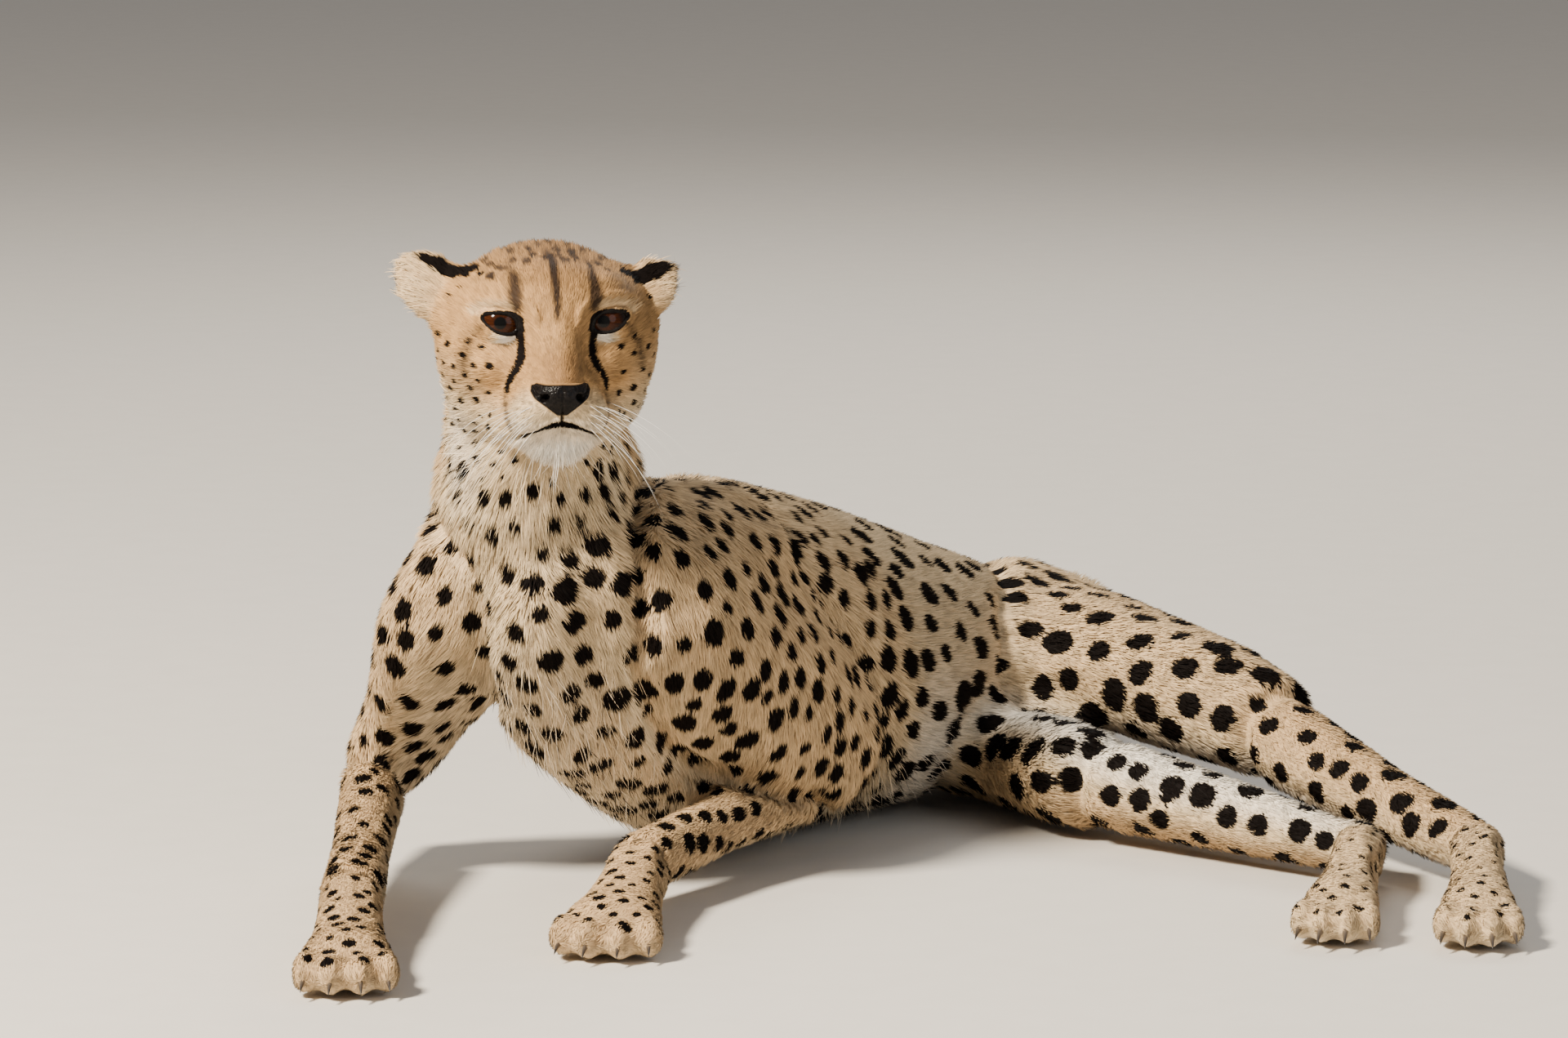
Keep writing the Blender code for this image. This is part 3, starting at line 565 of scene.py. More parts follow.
# Streaks: side, up and half width
BROW_STREAK = ((0.0262, 0.0140, 0.0030), (0.0275, 0.0220, 0.0046), (0.0262, 0.0330, 0.0032))
FOREHEAD_STREAK = ((0.0, 0.0100, 0.0014), (0.0, 0.0260, 0.0026), (0.0, 0.0470, 0.0032))
CHEEK_STREAK = ((0.0490, 0.0010, 0.0006), (0.0580, -0.0120, 0.0016), (0.0610, -0.0290, 0.0016))
TEAR_THIN = (
    (0.0334, -0.0415, 0.0012),
    (0.0346, -0.0480, 0.0011),
    (0.0339, -0.0575, 0.0013),
    (0.0312, -0.0653, 0.0012),
)
DASH = 0.0042  # from one dash of the thin tear line to the next
PAD_CORNER = (0.0165, -0.0430)  # first dot of the whiskers' pad
PAD_STEP = (0.0042, -0.0050)  # from dot to dot, outward and down
PAD_DOTS = (4.4, 3.4)  # the dots end here, in steps
# How dusky each marking is, beside its own path.
THIN_DUSK, PAD_DUSK, LIP_DUSK, CHIN_DUSK, PHILTRUM_DUSK = 0.95, 0.55, 0.25, 0.50, 0.9
STREAKS = ((BROW_STREAK, 0.96), (FOREHEAD_STREAK, 1.0), (CHEEK_STREAK, 1.0))
STREAK_RAG = 0.0013  # how far a streak's edge wanders
CHIN_SHADE = (1.6, -0.0625, 0.0050)  # under the lips: how much wider than high, up, half width


def zone(local, **ramps):
    """1 in a zone of the head and 0 outside it, by a ramp along each axis that is given."""
    axes = {"side": np.abs(local[:, 0]), "ahead": local[:, 1], "up": local[:, 2]}
    inside = np.ones(len(local))
    for axis, (none, full) in ramps.items():
        inside = inside * smoothstep(none, full, axes[axis])
    return inside


def folded(local):
    """Places as (side, up), both halves of the face on one."""
    return np.stack((np.abs(local[:, 0]), local[:, 2]), 1)


def path_distance(places, path):
    """Distance of each place to a path, less the path's own half width where it has one."""
    best = np.full(len(places), 1.0)
    rows = np.array(path, dtype=float)
    for a, b in zip(rows[:-1], rows[1:]):
        run = b[:2] - a[:2]
        part = np.clip(((places - a[:2]) @ run) / (run @ run), 0.0, 1.0)
        away = np.linalg.norm(places - a[:2] - part[:, None] * run, axis=1)
        if rows.shape[1] > 2:
            away = away - (a[2] + part * (b[2] - a[2]))
        best = np.minimum(best, away)
    return best


def lid_edge():
    """The opening's edge as (outward, up) points: the upper lid, then the lower one."""
    inner, outer = np.array(LID_INNER), np.array(LID_OUTER)
    part = np.linspace(0.0, 1.0, LID_STEPS)
    line = inner + part[:, None] * (outer - inner)
    edges = []
    for sign, (height, square, lean) in ((1, LID_ARCH), (-1, LID_SAG)):
        edge = line.copy()
        arch = (4 * part * (1 - part)) ** square * (1 + lean * (part - 0.5))
        edge[:, 1] += sign * height * arch
        edges.append(edge)
    return edges


def eye_places(local, side):
    """Places relative to an eye, along its own axes: outward, toward the gaze, up."""
    tilt = math.radians(GAZE_TILT)
    away = local - EYES[side]
    ahead, up = away[:, 1], away[:, 2]
    return np.stack(
        (
            side * away[:, 0],
            math.cos(tilt) * ahead + math.sin(tilt) * up,
            math.cos(tilt) * up - math.sin(tilt) * ahead,
        ),
        axis=1,
    )


def lid_distance(local, side):
    """Distance outside the opening of an eye, negative inside it; large behind the eye."""
    places = eye_places(local, side)
    flat = places[:, (0, 2)] - ((0.0, 0.0), (LID_SHIFT, 0.0))[side > 0]
    upper, lower = lid_edge()
    edge = np.minimum(path_distance(flat, upper), path_distance(flat, lower))
    high = np.interp(flat[:, 0], upper[:, 0], upper[:, 1], left=-1, right=-1)
    low = np.interp(flat[:, 0], lower[:, 0], lower[:, 1], left=1, right=1)
    inside = (flat[:, 1] < high) & (flat[:, 1] > low)
    distance = np.where(inside, -edge, edge)
    return np.where(places[:, 1] > EYE_FRONT, distance, FAR)


def nose_distance(local):
    """Distance outside the nose pad, about; negative on it."""
    side, up = np.abs(local[:, 0]), local[:, 2]
    part = np.clip((NOSE_TOP - up) / (NOSE_TOP - NOSE_LOW), 0.0, 1.0)
    steps, shares = np.array(NOSE_PROFILE).T
    across = (side - NOSE_HALF * np.interp(part, steps, shares)) * 0.85
    upward = np.maximum(up - NOSE_TOP + 0.06 * side, NOSE_LOW - up)
    distance = np.maximum(across, upward)
    return np.where(local[:, 1] > NOSE_FRONT, distance, FAR)


def mouth_distance(local):
    """Distance to the line of the closed lips."""
    side, ahead, up = np.abs(local[:, 0]), local[:, 1], local[:, 2]
    front = np.where(ahead > 0.050, path_distance(folded(local), MOUTH), FAR)
    back = path_distance(np.stack((ahead, up), 1), JAW_LINE)
    return np.minimum(front, np.where((side > 0.016) & (ahead < 0.066), back, FAR))


def philtrum_distance(local):
    """Distance to the groove from the nose pad to the lips."""
    path = ((0.0, NOSE_LOW + 0.002), (0.0, PHILTRUM_LOW))
    return np.where(local[:, 1] > NOSE_FRONT, path_distance(folded(local), path), FAR)


# ------------------------------------------------------------------ sculpting
BEHIND_EYE = EYE_RADIUS - 0.0035  # the skin in the opening, from the eye's middle
LID_THICK, UPPER_LID_MORE = 0.0015, 0.0009
# The fold over the lid and the hollow over that: height, how far off, half width.
LID_CREASES = ((0.0013, 0.0048, 0.0022), (-0.0030, 0.0098, 0.0052))
NOSTRIL_HALF = (0.0036, 0.0027)
NOSTRIL_LEAN = 0.35
NOSTRIL_DEEP, SLIT_DEEP, SLIT_HALF = 0.0050, 0.0016, 0.0016
PHILTRUM_DEEP, PHILTRUM_HALF = 0.0014, 0.0016
LIP_DEEP, LIP_HALF = 0.0030, 0.0019
LIP_HIGH, LIP_OFF, LIP_WIDE = 0.0007, 0.0035, 0.0030  # the lips' swelling off the groove


def face_near(points, reach):
    """Vertices on the front of the face, and whether they are near an eye, the nose or the lips."""
    local = to_head(points)
    front = (np.abs(local[:, 0]) < 0.066) & (local[:, 1] > 0.006)
    front &= (local[:, 2] > -0.088) & (local[:, 2] < 0.030)
    eyes = np.minimum(lid_distance(local, 1), lid_distance(local, -1))
    parts = np.minimum(np.minimum(eyes, nose_distance(local)), mouth_distance(local))
    return front & (parts < reach)


def divide(mesh, chosen):
    """Divides the faces whose corners are all chosen."""
    work = bmesh.new()
    work.from_mesh(mesh)
    work.verts.ensure_lookup_table()
    edges = [e for e in work.edges if chosen[e.verts[0].index] and chosen[e.verts[1].index]]
    bmesh.ops.subdivide_edges(work, edges=edges, cuts=1, use_grid_fill=True)
    work.to_mesh(mesh)
    work.free()


def laid_on(mesh, form):
    """A mesh moved onto another form's surface."""
    target = add_object("form", form)
    made = modified(mesh, "SHRINKWRAP", target=target, wrap_method="NEAREST_SURFACEPOINT")
    bpy.data.objects.remove(target, do_unlink=True)
    return made


def skin_form(settings, tree, owners):
    """The skin before its features: even cells, finer on the head, the feet and the face."""
    form = reference_form(settings, tree, owners)
    mesh = remeshed(form.copy(), settings.skin_cell)
    divide(mesh, np.isin(regions_of(read_points(mesh), tree, owners), FINE))
    for reach in DIVIDED_NEAR:
        divide(mesh, face_near(read_points(mesh), reach))
    return laid_on(mesh, form)


def bump(distance, width):
    """A round ridge: 1 at distance 0, 0 from the width on."""
    return np.clip(1 - (distance / width) ** 2, 0.0, 1.0) ** 2


def sculpt_eyes(local):
    """Lids over the eyeballs: the skin dips behind the ball in the opening, and rims it."""
    for side in (1, -1):
        away = local - EYES[side]
        reach = np.linalg.norm(away, axis=1)
        gap = lid_distance(local, side)
        out, _, up = eye_places(local, side).T
        thick = LID_THICK + UPPER_LID_MORE * smoothstep(-0.003, 0.003, up)
        rim = EYE_RADIUS + thick * smoothstep(0.0, 0.0012, gap)
        lid = BEHIND_EYE + (rim - BEHIND_EYE) * smoothstep(-0.0010, 0.0002, gap)
        crease = sum(high * bump(gap - off, half) for high, off, half in LID_CREASES)
        crease = crease * smoothstep(-0.001, 0.003, up - 0.25 * out)
        blend = smoothstep(0.0016, 0.0095, gap)
        wanted = lid + (np.maximum(reach, EYE_RADIUS + 0.0008) - lid) * blend - crease
        ratio = np.where(gap < 0.015, wanted / np.maximum(reach, 1e-6), 1.0)
        local = EYES[side] + away * ratio[:, None]
    return local


def sculpt_nose(local, normals):
    """The nose pad with its nostrils and midline, and the groove under it."""
    side, up = local[:, 0], local[:, 2]
    gap = nose_distance(local)
    lift = 0.0014 * smoothstep(0.0008, -0.0016, gap) - 0.0006 * bump(gap - 0.0012, 0.0014)
    front = local[:, 1] > NOSE_FRONT
    x, z = np.abs(side) - NOSTRIL[0], up - NOSTRIL[1]
    hole = np.hypot(x / NOSTRIL_HALF[0], (z + NOSTRIL_LEAN * x) / NOSTRIL_HALF[1])
    slit = bump(path_distance(folded(local), NOSTRIL_SLIT), SLIT_HALF)
    lift -= front * (NOSTRIL_DEEP * smoothstep(1.10, 0.45, hole) + SLIT_DEEP * slit)
    midline = bump(side, 0.0011) * smoothstep(-0.031, -0.034, up) * (up > PHILTRUM_LOW)
    lift -= 0.0009 * front * midline
    lift -= PHILTRUM_DEEP * bump(philtrum_distance(local), PHILTRUM_HALF)
    return local + normals * lift[:, None]


def sculpt_mouth(local, normals):
    """The closed lips: a groove, with the upper lip standing over it."""
    gap = mouth_distance(local)
    swelling = LIP_HIGH * bump(gap - LIP_OFF, LIP_WIDE) * np.where(mouth_side(local), 1.0, 0.5)
    lift = swelling - LIP_DEEP * bump(gap, LIP_HALF)
    return local + normals * lift[:, None]


def mouth_side(local):
    """Whether a place lies above the line of the lips."""
    side, ahead, up = np.abs(local[:, 0]), local[:, 1], local[:, 2]
    front = np.array(MOUTH)
    back = np.array(JAW_LINE)[::-1]
    line = np.where(
        ahead > 0.062,
        np.interp(side, front[:, 0], front[:, 1]),
        np.interp(ahead, back[:, 0], back[:, 1]),
    )
    return up > line


def sculpt(mesh):
    """Moves the head's vertices into the face's features."""
    points = read_points(mesh)
    normals = read_normals(mesh) @ HEAD_AXES
    normals[:, 1] *= -1
    local = to_head(points)
    face = (np.linalg.norm(local, axis=1) < 0.125) & (local[:, 1] > -0.01)
    part = sculpt_mouth(sculpt_nose(local[face], normals[face]), normals[face])
    local[face] = sculpt_eyes(part)
    points[face] = from_head(local)[face]
    write_points(mesh, points)


# ------------------------------------------------------------------ folds of the body
# Regions that stand out, how deep the fold round them is and how high they stand, in metres.
FOLDS = {
    "upper_arm_left": (0.0180, 0.0060),
    "upper_arm_right": (0.0120, 0.0040),
    "thigh_left": (0.0080, 0.0030),
    "thigh_right": (0.0060, 0.0020),
    "forearm": (0.0040, 0.0010),
    "head": (0.0022, 0.0),
}
BREAST_LINE = (-0.012, -0.10)  # how far the groove lies to the side, and how that grows with height
BREAST_GROOVE, BREAST_HALF = 0.0090, 0.024  # groove down the middle of the breast
# Of the body and of the feet: easing steps, gain, and the most that it raises and lowers.
RELIEFS = (
    (LIMBS_AND_TRUNK, 60, 0.60, 0.0020, -0.0130),
    (FEET, 10, 1.30, 0.0016, -0.0050),
)
RAISED = 0.35  # share by which what stands out is raised
# Over a region's eased edge (0 outside it, 1 inside): where a fold and a rise lie, and how wide.
FOLD_EASING, FOLD_AT, RISE_AT, FOLD_HALF = 14, 0.30, 0.78, 0.30


def relief(mesh, regions):
    """Brings out the muscles, the elbows and the toes, mostly by deepening the hollows."""
    web = Web(mesh)
    points, normals = read_points(mesh), read_normals(mesh)
    lift = np.zeros(len(points))
    for chosen, steps, gain, high, low in RELIEFS:
        share = web.ease(np.isin(regions, chosen).astype(float), 8)
        detail = ((points - web.ease(points, steps)) * normals).sum(1)
        detail = np.where(detail < 0, detail, RAISED * detail)
        lift += share * np.clip(gain * detail, low, high)
    lift *= smoothstep(0.004, 0.020, points[:, 2])
    write_points(mesh, points + normals * web.ease(lift, 2)[:, None])


def fold_body(mesh, regions):
    """Folds where the limbs leave the trunk, and a groove down the breast."""
    web = Web(mesh)
    points, normals = read_points(mesh), read_normals(mesh)
    lift = np.zeros(len(points))
    for key, (depth, height) in FOLDS.items():
        for index in of_regions(key):
            inside = web.ease((regions == index).astype(float), FOLD_EASING)
            lift += height * bump(inside - RISE_AT, FOLD_HALF)
            lift -= depth * bump(inside - FOLD_AT, FOLD_HALF)
    neck, chest = node_middle("neck"), node_middle("chest")
    front = smoothstep(-0.35, -0.75, normals[:, 1])
    trunk = np.isin(regions, of_regions("neck", "chest"))
    line = (neck[0] + chest[0]) / 2 + BREAST_LINE[0] + BREAST_LINE[1] * (points[:, 2] - chest[2])
    below = smoothstep(neck[2] - 0.02, chest[2] + 0.02, points[:, 2])
    lift -= BREAST_GROOVE * bump(points[:, 0] - line, BREAST_HALF) * front * trunk * below
    write_points(mesh, points + normals * web.ease(lift, 3)[:, None])


# ------------------------------------------------------------------ lie of the coat
# Where the hair doesn't simply run on to the next region: down the throat and the breast.
SET_WAYS = {"neck": (-0.05, 0.12, -1.0), "chest": (0.22, 0.52, -0.82)}
EARS_FROM = np.array((0.0, 0.012, 0.0))  # side, back and up of the head's middle
NOSE_TIP = (0.0, 0.080, -0.036)  # the head's hair runs away from here
WAY_EASING = 40


def region_way(name):
    """The way the hair runs over a region, before easing."""
    if name in SET_WAYS:
        return unit(np.array(SET_WAYS[name]))
    target = REGIONS[name][2]
    if target != name:
        return unit(node_middle(target) - node_middle(name))
    if name in HAIR_FROM:
        return unit(node_middle(name) - node_middle(HAIR_FROM[name]))
    return unit(node_middle(name) - HEAD_MIDDLE - HEAD_AXES @ EARS_FROM)


def coat_way(points, normals, regions, web):
    """The way the hair lies at each vertex, along the surface."""
    way = np.array([region_way(name) for name in REGION_NAMES])[regions]
    head = np.isin(regions, of_regions("head"))
    way[head] = unit(points[head] - from_head(NOSE_TIP))
    return along_surface(web.ease(way, WAY_EASING), normals)


# Way that each region's pale side faces.
PALE_WAYS = {
    "head": (0.0, -0.3, -0.95),
    "neck": (-0.25, -0.80, -0.55),
    "chest": (-0.20, -0.45, -0.87),
    "abdomen": (0.50, 0.0, -0.87),
    "pelvis": (0.93, 0.0, -0.36),
    "ear": (0.0, -0.6, -0.8),
    "tail": (0.0, 0.0, -1.0),
    "tail_base": (0.3, 0.0, -0.95),
    "upper_arm_left": (-0.7, -0.3, -0.65),
    "upper_arm_right": (0.7, -0.3, -0.65),
    "forearm_left": (-0.5, 0.0, -0.87),
    "forearm_right": (0.5, 0.0, -0.87),
    "forepaw": (0.0, 0.0, -1.0),
    "thigh_left": (0.3, -0.2, -0.93),
    "thigh_right": (0.45, -0.25, 0.85),
    "shin_left": (0.0, 0.2, -0.98),
    "shin_right": (0.0, -0.2, 0.98),
    "hindfoot": (0.0, 0.0, -1.0),
}
# The head's tone: its start, then changes with the zone that each is in.
FACE_TONE = 1.13
FACE_TONES = (
    (-0.60, {"up": (-0.028, -0.075), "ahead": (-0.055, -0.015)}),  # lower half
    (-0.25, {"side": (0.030, 0.060), "up": (0.0, -0.03)}),  # cheeks
    (-0.35, {"ahead": (0.045, 0.065), "up": (-0.022, -0.045)}),  # muzzle
    (-0.18, {"up": (-0.066, -0.074), "ahead": (0.02, 0.04)}),  # chin
)
BRIDGE_TONE, BRIDGE_HALF = 0.30, 0.022
CROWN_TONE, CROWN_HALF = 0.18, 0.060
UNDER_EYE_TONE, UNDER_EYE_OFF, UNDER_EYE_HALF = 1.05, 0.005, 0.008
OVER_EYE_TONE, OVER_EYE_OFF, OVER_EYE_HALF = 0.42, 0.0065, 0.0060


def face_tone(local):
    """How tan the head is by its places: 0 white, 1 tan, more where it darkens."""
    tone = FACE_TONE + sum(change * zone(local, **ramps) for change, ramps in FACE_TONES)
    bridge = zone(local, up=(-0.004, -0.020)) * zone(local, up=(-0.042, -0.030))
    tone += BRIDGE_TONE * bump(local[:, 0], BRIDGE_HALF) * bridge
    tone += CROWN_TONE * bump(local[:, 0], CROWN_HALF) * zone(local, up=(0.012, 0.040))
    for sign in (1, -1):
        gap = lid_distance(local, sign)
        out, _, up = eye_places(local, sign).T
        beside = smoothstep(-0.0110, -0.0085, out)
        under = beside * smoothstep(-0.002, -0.006, up) * smoothstep(0.012, -0.002, out)
        over = beside * smoothstep(0.002, 0.006, up)
        off = np.maximum(gap - UNDER_EYE_OFF, 0.0)
        tone -= UNDER_EYE_TONE * under * bump(off, UNDER_EYE_HALF)
        tone -= OVER_EYE_TONE * over * bump(gap - OVER_EYE_OFF, OVER_EYE_HALF)
    return np.clip(tone, 0.0, TONE_TOP)


# How tan each region's back is; the rest of the coat is paler.
TAN_SHARES = {
    "neck": 0.66,
    "chest": 0.64,
    "abdomen": 0.52,
    "pelvis": 0.60,
    "thigh": 0.70,
    "shin": 0.80,
    "upper_arm": 0.74,
    "forearm": 0.80,
    "forepaw": 0.80,
    "hindfoot": 0.68,
    "ear": 0.72,
}
# How tan its pale side still is.
LEAST_TAN = {
    "ear": 0.62,
    "neck": 0.52,
    "chest": 0.44,
    "abdomen": 0.15,
    "upper_arm": 0.42,
    "forearm": 0.35,
    "forepaw": 0.48,
    "hindfoot": 0.34,
}
OTHER_TAN, OTHER_LEAST = 0.92, 0.05  # of regions that the two tables leave out
NORMAL_EASING, TONE_EASING, EAR_EASING = 30, 25, 6
PALE_SPAN = (0.05, 0.75)  # cosines to the pale way, between which the coat pales
HEAD_TONE_SPAN = (0.135, 0.105)  # from the head's middle, where the head's tone takes over
HEAD_TALL = 0.85  # the head's reach is that much longer upward


def tone_of(points, normals, regions, web):
    """How tan the coat is at each vertex."""
    broad = unit(web.ease(normals, NORMAL_EASING))
    down = (broad * unit(by_region(PALE_WAYS))[regions]).sum(1)
    most = by_region(TAN_SHARES, OTHER_TAN)[regions]
    least = by_region(LEAST_TAN, OTHER_LEAST)[regions]
    tone = least + (most - least) * (1 - smoothstep(*PALE_SPAN, down))
    tone = web.ease(tone, TONE_EASING)
    local = to_head(points)
    on_head = smoothstep(*HEAD_TONE_SPAN, np.linalg.norm(local * (1.0, 1.0, HEAD_TALL), axis=1))
    on_head = on_head * (1 - web.ease(np.isin(regions, EARS).astype(float), EAR_EASING))
    return tone + on_head * (face_tone(local) - tone)


# ------------------------------------------------------------------ spots
# Of each region: spacing, half size across the hair and along it, in metres.
SPOTS = {
    "head": (0.0098, 0.0019, 0.0024),
    "neck": (0.0160, 0.0048, 0.0060),
    "chest": (0.0190, 0.0078, 0.0068),
    "abdomen": (0.0232, 0.0084, 0.0088),
    "pelvis": (0.0268, 0.0080, 0.0092),
    "upper_arm": (0.0186, 0.0066, 0.0068),
    "forearm": (0.0178, 0.0055, 0.0062),
    "forepaw": (0.0138, 0.0036, 0.0042),
    "thigh": (0.0250, 0.0088, 0.0098),
    "shin": (0.0218, 0.0074, 0.0082),
    "hindfoot": (0.0140, 0.0030, 0.0032),
    "tail_base": (0.0240, 0.0080, 0.0080),
    "tail_middle": (0.0230, 0.0085, 0.0070),
}
NO_SPOTS = (0.0, 0.0, 0.0)
TOES_TALL = 0.024  # the toes under this height carry no spots
SPOT_SEED = 11
SPOT_SCALE = 1.14
SPACING_RANGE = (0.88, 1.18)
SPOT_SIZES = (0.74, 1.18)
SPOT_SHAPES = (0.90, 1.12)
SPOT_WOBBLE = 0.030
SPOT_EDGE = (1.16, 0.84)  # of the half size, between which a spot fades
HEAD_SPOTS_REACH = 0.12
CROWN_LOW = 0.030  # over this height the head's spots are faint streaks
CROWN_STRETCH = (1.5, 2.5)
CROWN_STRENGTH = (0.80, 0.99)


def scatter(points, spacing, order):
    """Indices of points no nearer each other than their spacing, taken in the given order."""
    taken = {}
    chosen = []
    keys = np.floor(points / spacing.max()).astype(int)
    around = [(i, j, k) for i in (-1, 0, 1) for j in (-1, 0, 1) for k in (-1, 0, 1)]

    def crowded(index, other):
        gap = points[other] - points[index]
        return gap @ gap < (0.5 * (spacing[index] + spacing[other])) ** 2

    for index in order:
        if spacing[index] <= 0:
            continue
        x, y, z = keys[index]
        cells = (taken.get((x + i, y + j, z + k), ()) for i, j, k in around)
        if not any(crowded(index, other) for cell in cells for other in cell):
            taken.setdefault((x, y, z), []).append(index)
            chosen.append(index)
    return np.array(chosen)


def make_spots(points, normals, way, regions):
    """The coat's spots: middles, their axes, half sizes and the wobble of their outline."""
    random = np.random.default_rng(SPOT_SEED)
    rows = by_region(SPOTS, NO_SPOTS)[regions]
    side, ahead, up = to_head(points).T
    spacing = rows[:, 0] * random.uniform(*SPACING_RANGE, len(points))
    near = np.linalg.norm(to_head(points), axis=1) < HEAD_SPOTS_REACH
    muzzle = (ahead > 0.012) & (np.abs(side) < 0.042)
    brow = (up > -0.008) & (up < CROWN_LOW) & (ahead > -0.004)
    spacing[near & (muzzle | brow)] = 0.0
    spacing[np.isin(regions, FEET) & (points[:, 2] < TOES_TALL)] = 0.0
    chosen = scatter(points, spacing, random.permutation(len(points)))
    count = len(chosen)
    size = SPOT_SCALE * rows[chosen, 1:] * random.uniform(*SPOT_SIZES, (count, 1))
    size = size * random.uniform(*SPOT_SHAPES, (count, 2))
    crown = (near & (up >= CROWN_LOW))[chosen]
    size[crown] *= CROWN_STRETCH
    return {
        "middle": points[chosen],
        "normal": normals[chosen],
        "along": way[chosen],
        "across": np.cross(normals[chosen], way[chosen]),
        "size": size,
        "strength": np.where(crown, random.uniform(*CROWN_STRENGTH, count), 1.0),
        "wobble": random.normal(0.0, SPOT_WOBBLE, (count, 3)),
        "turn": random.uniform(0.0, 2 * np.pi, (count, 3)),
    }


def spots_at(points, normals, spots):
    """How black and how dusky the spots make each point, 0 to 1 each."""
    marks = np.zeros((len(points), 2))
    tree = tree_of(points)
    orders = np.arange(2, 5)[:, None]  # waves round a spot's outline
    for k, middle in enumerate(spots["middle"]):
        size, strength = spots["size"][k], spots["strength"][k]
        near = np.array([item[1] for item in tree.find_range(middle, 1.5 * size.max())], int)
        near = near[normals[near] @ spots["normal"][k] > 0.15]
        gap = points[near] - middle
        x = gap @ spots["across"][k] / size[0]
        y = gap @ spots["along"][k] / size[1]
        waves = np.cos(orders * np.arctan2(y, x) + spots["turn"][k][:, None])
        edge = 1 + spots["wobble"][k] @ waves
        column = int(strength < 1)
        depth = strength * smoothstep(*SPOT_EDGE, np.hypot(x, y) / edge)
        marks[near, column] = np.maximum(marks[near, column], depth)
    return marks


EAR_ROOT = (0.053, -0.018, 0.012)  # side, ahead, up
EAR_OUT = (0.90, -0.06, 0.42)
EAR_BACK = (-0.30, 0.55, 0.78)
EAR_HEIGHT = 0.058
# Of each side's patch, in ear heights: middle and half size up the ear, and across it.
EAR_PATCH = {-1: (0.34, 0.38, 0.19, 0.18), 1: (0.36, 0.32, 0.02, 0.15)}
EAR_REACH = 0.075  # from its root
RING_STEP = 0.042  # from one dark ring of the tail to the next
RING_TIP = 0.050  # length of the tail's pale tip
RING_PAST = 0.045  # how far the rings run past the middle of the last part but one
RING_EDGE = (0.30, 0.38)
TIP_PART = 0.36  # of the last part's box, from its middle to the tail's end


def ear_patch(local, normals, side):
    """The black patch on the back of an ear, between its root and its pale rim."""
    mirror = np.array((side, 1.0, 1.0))
    out = unit(mirror * EAR_OUT)
    back = unit(mirror * EAR_BACK - (mirror * EAR_BACK @ out) * out)
    away = local - mirror * EAR_ROOT
    high = (away @ out) / EAR_HEIGHT
    wide = (away @ (side * np.cross(out, back))) / EAR_HEIGHT
    face = smoothstep(0.10, 0.35, normals @ HEAD_AXES * (1.0, -1.0, 1.0) @ back)
    ragged = 0.16 * np.sin(away @ (900.0, 400.0, 0.0)) * np.sin(away @ (0.0, 700.0, 900.0))
    high_middle, high_half, wide_middle, wide_half = EAR_PATCH[side]
    reach = np.hypot((high - high_middle) / high_half, (wide - wide_middle) / wide_half)
    near = (side * local[:, 0] > 0.045) & (np.linalg.norm(away, axis=1) < EAR_REACH)
    return smoothstep(1.10, 0.80, reach + ragged) * face * near


def tail_rings(points):
    """Dark rings round the last part of the tail, up to its pale tip."""
    low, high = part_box("tail_tip")
    middle, before = node_middle("tail_tip"), node_middle("tail_rings")
    end = middle + unit(middle - before) * (high - low).length * TIP_PART
    away = np.linalg.norm(points - end, axis=1)
    turn = np.abs((away - RING_TIP) / RING_STEP % 1.0 - 0.5)
    inside = (away > RING_TIP) & (away < RING_PAST + np.linalg.norm(end - before))
    return smoothstep(*RING_EDGE, 0.75 - turn) * inside


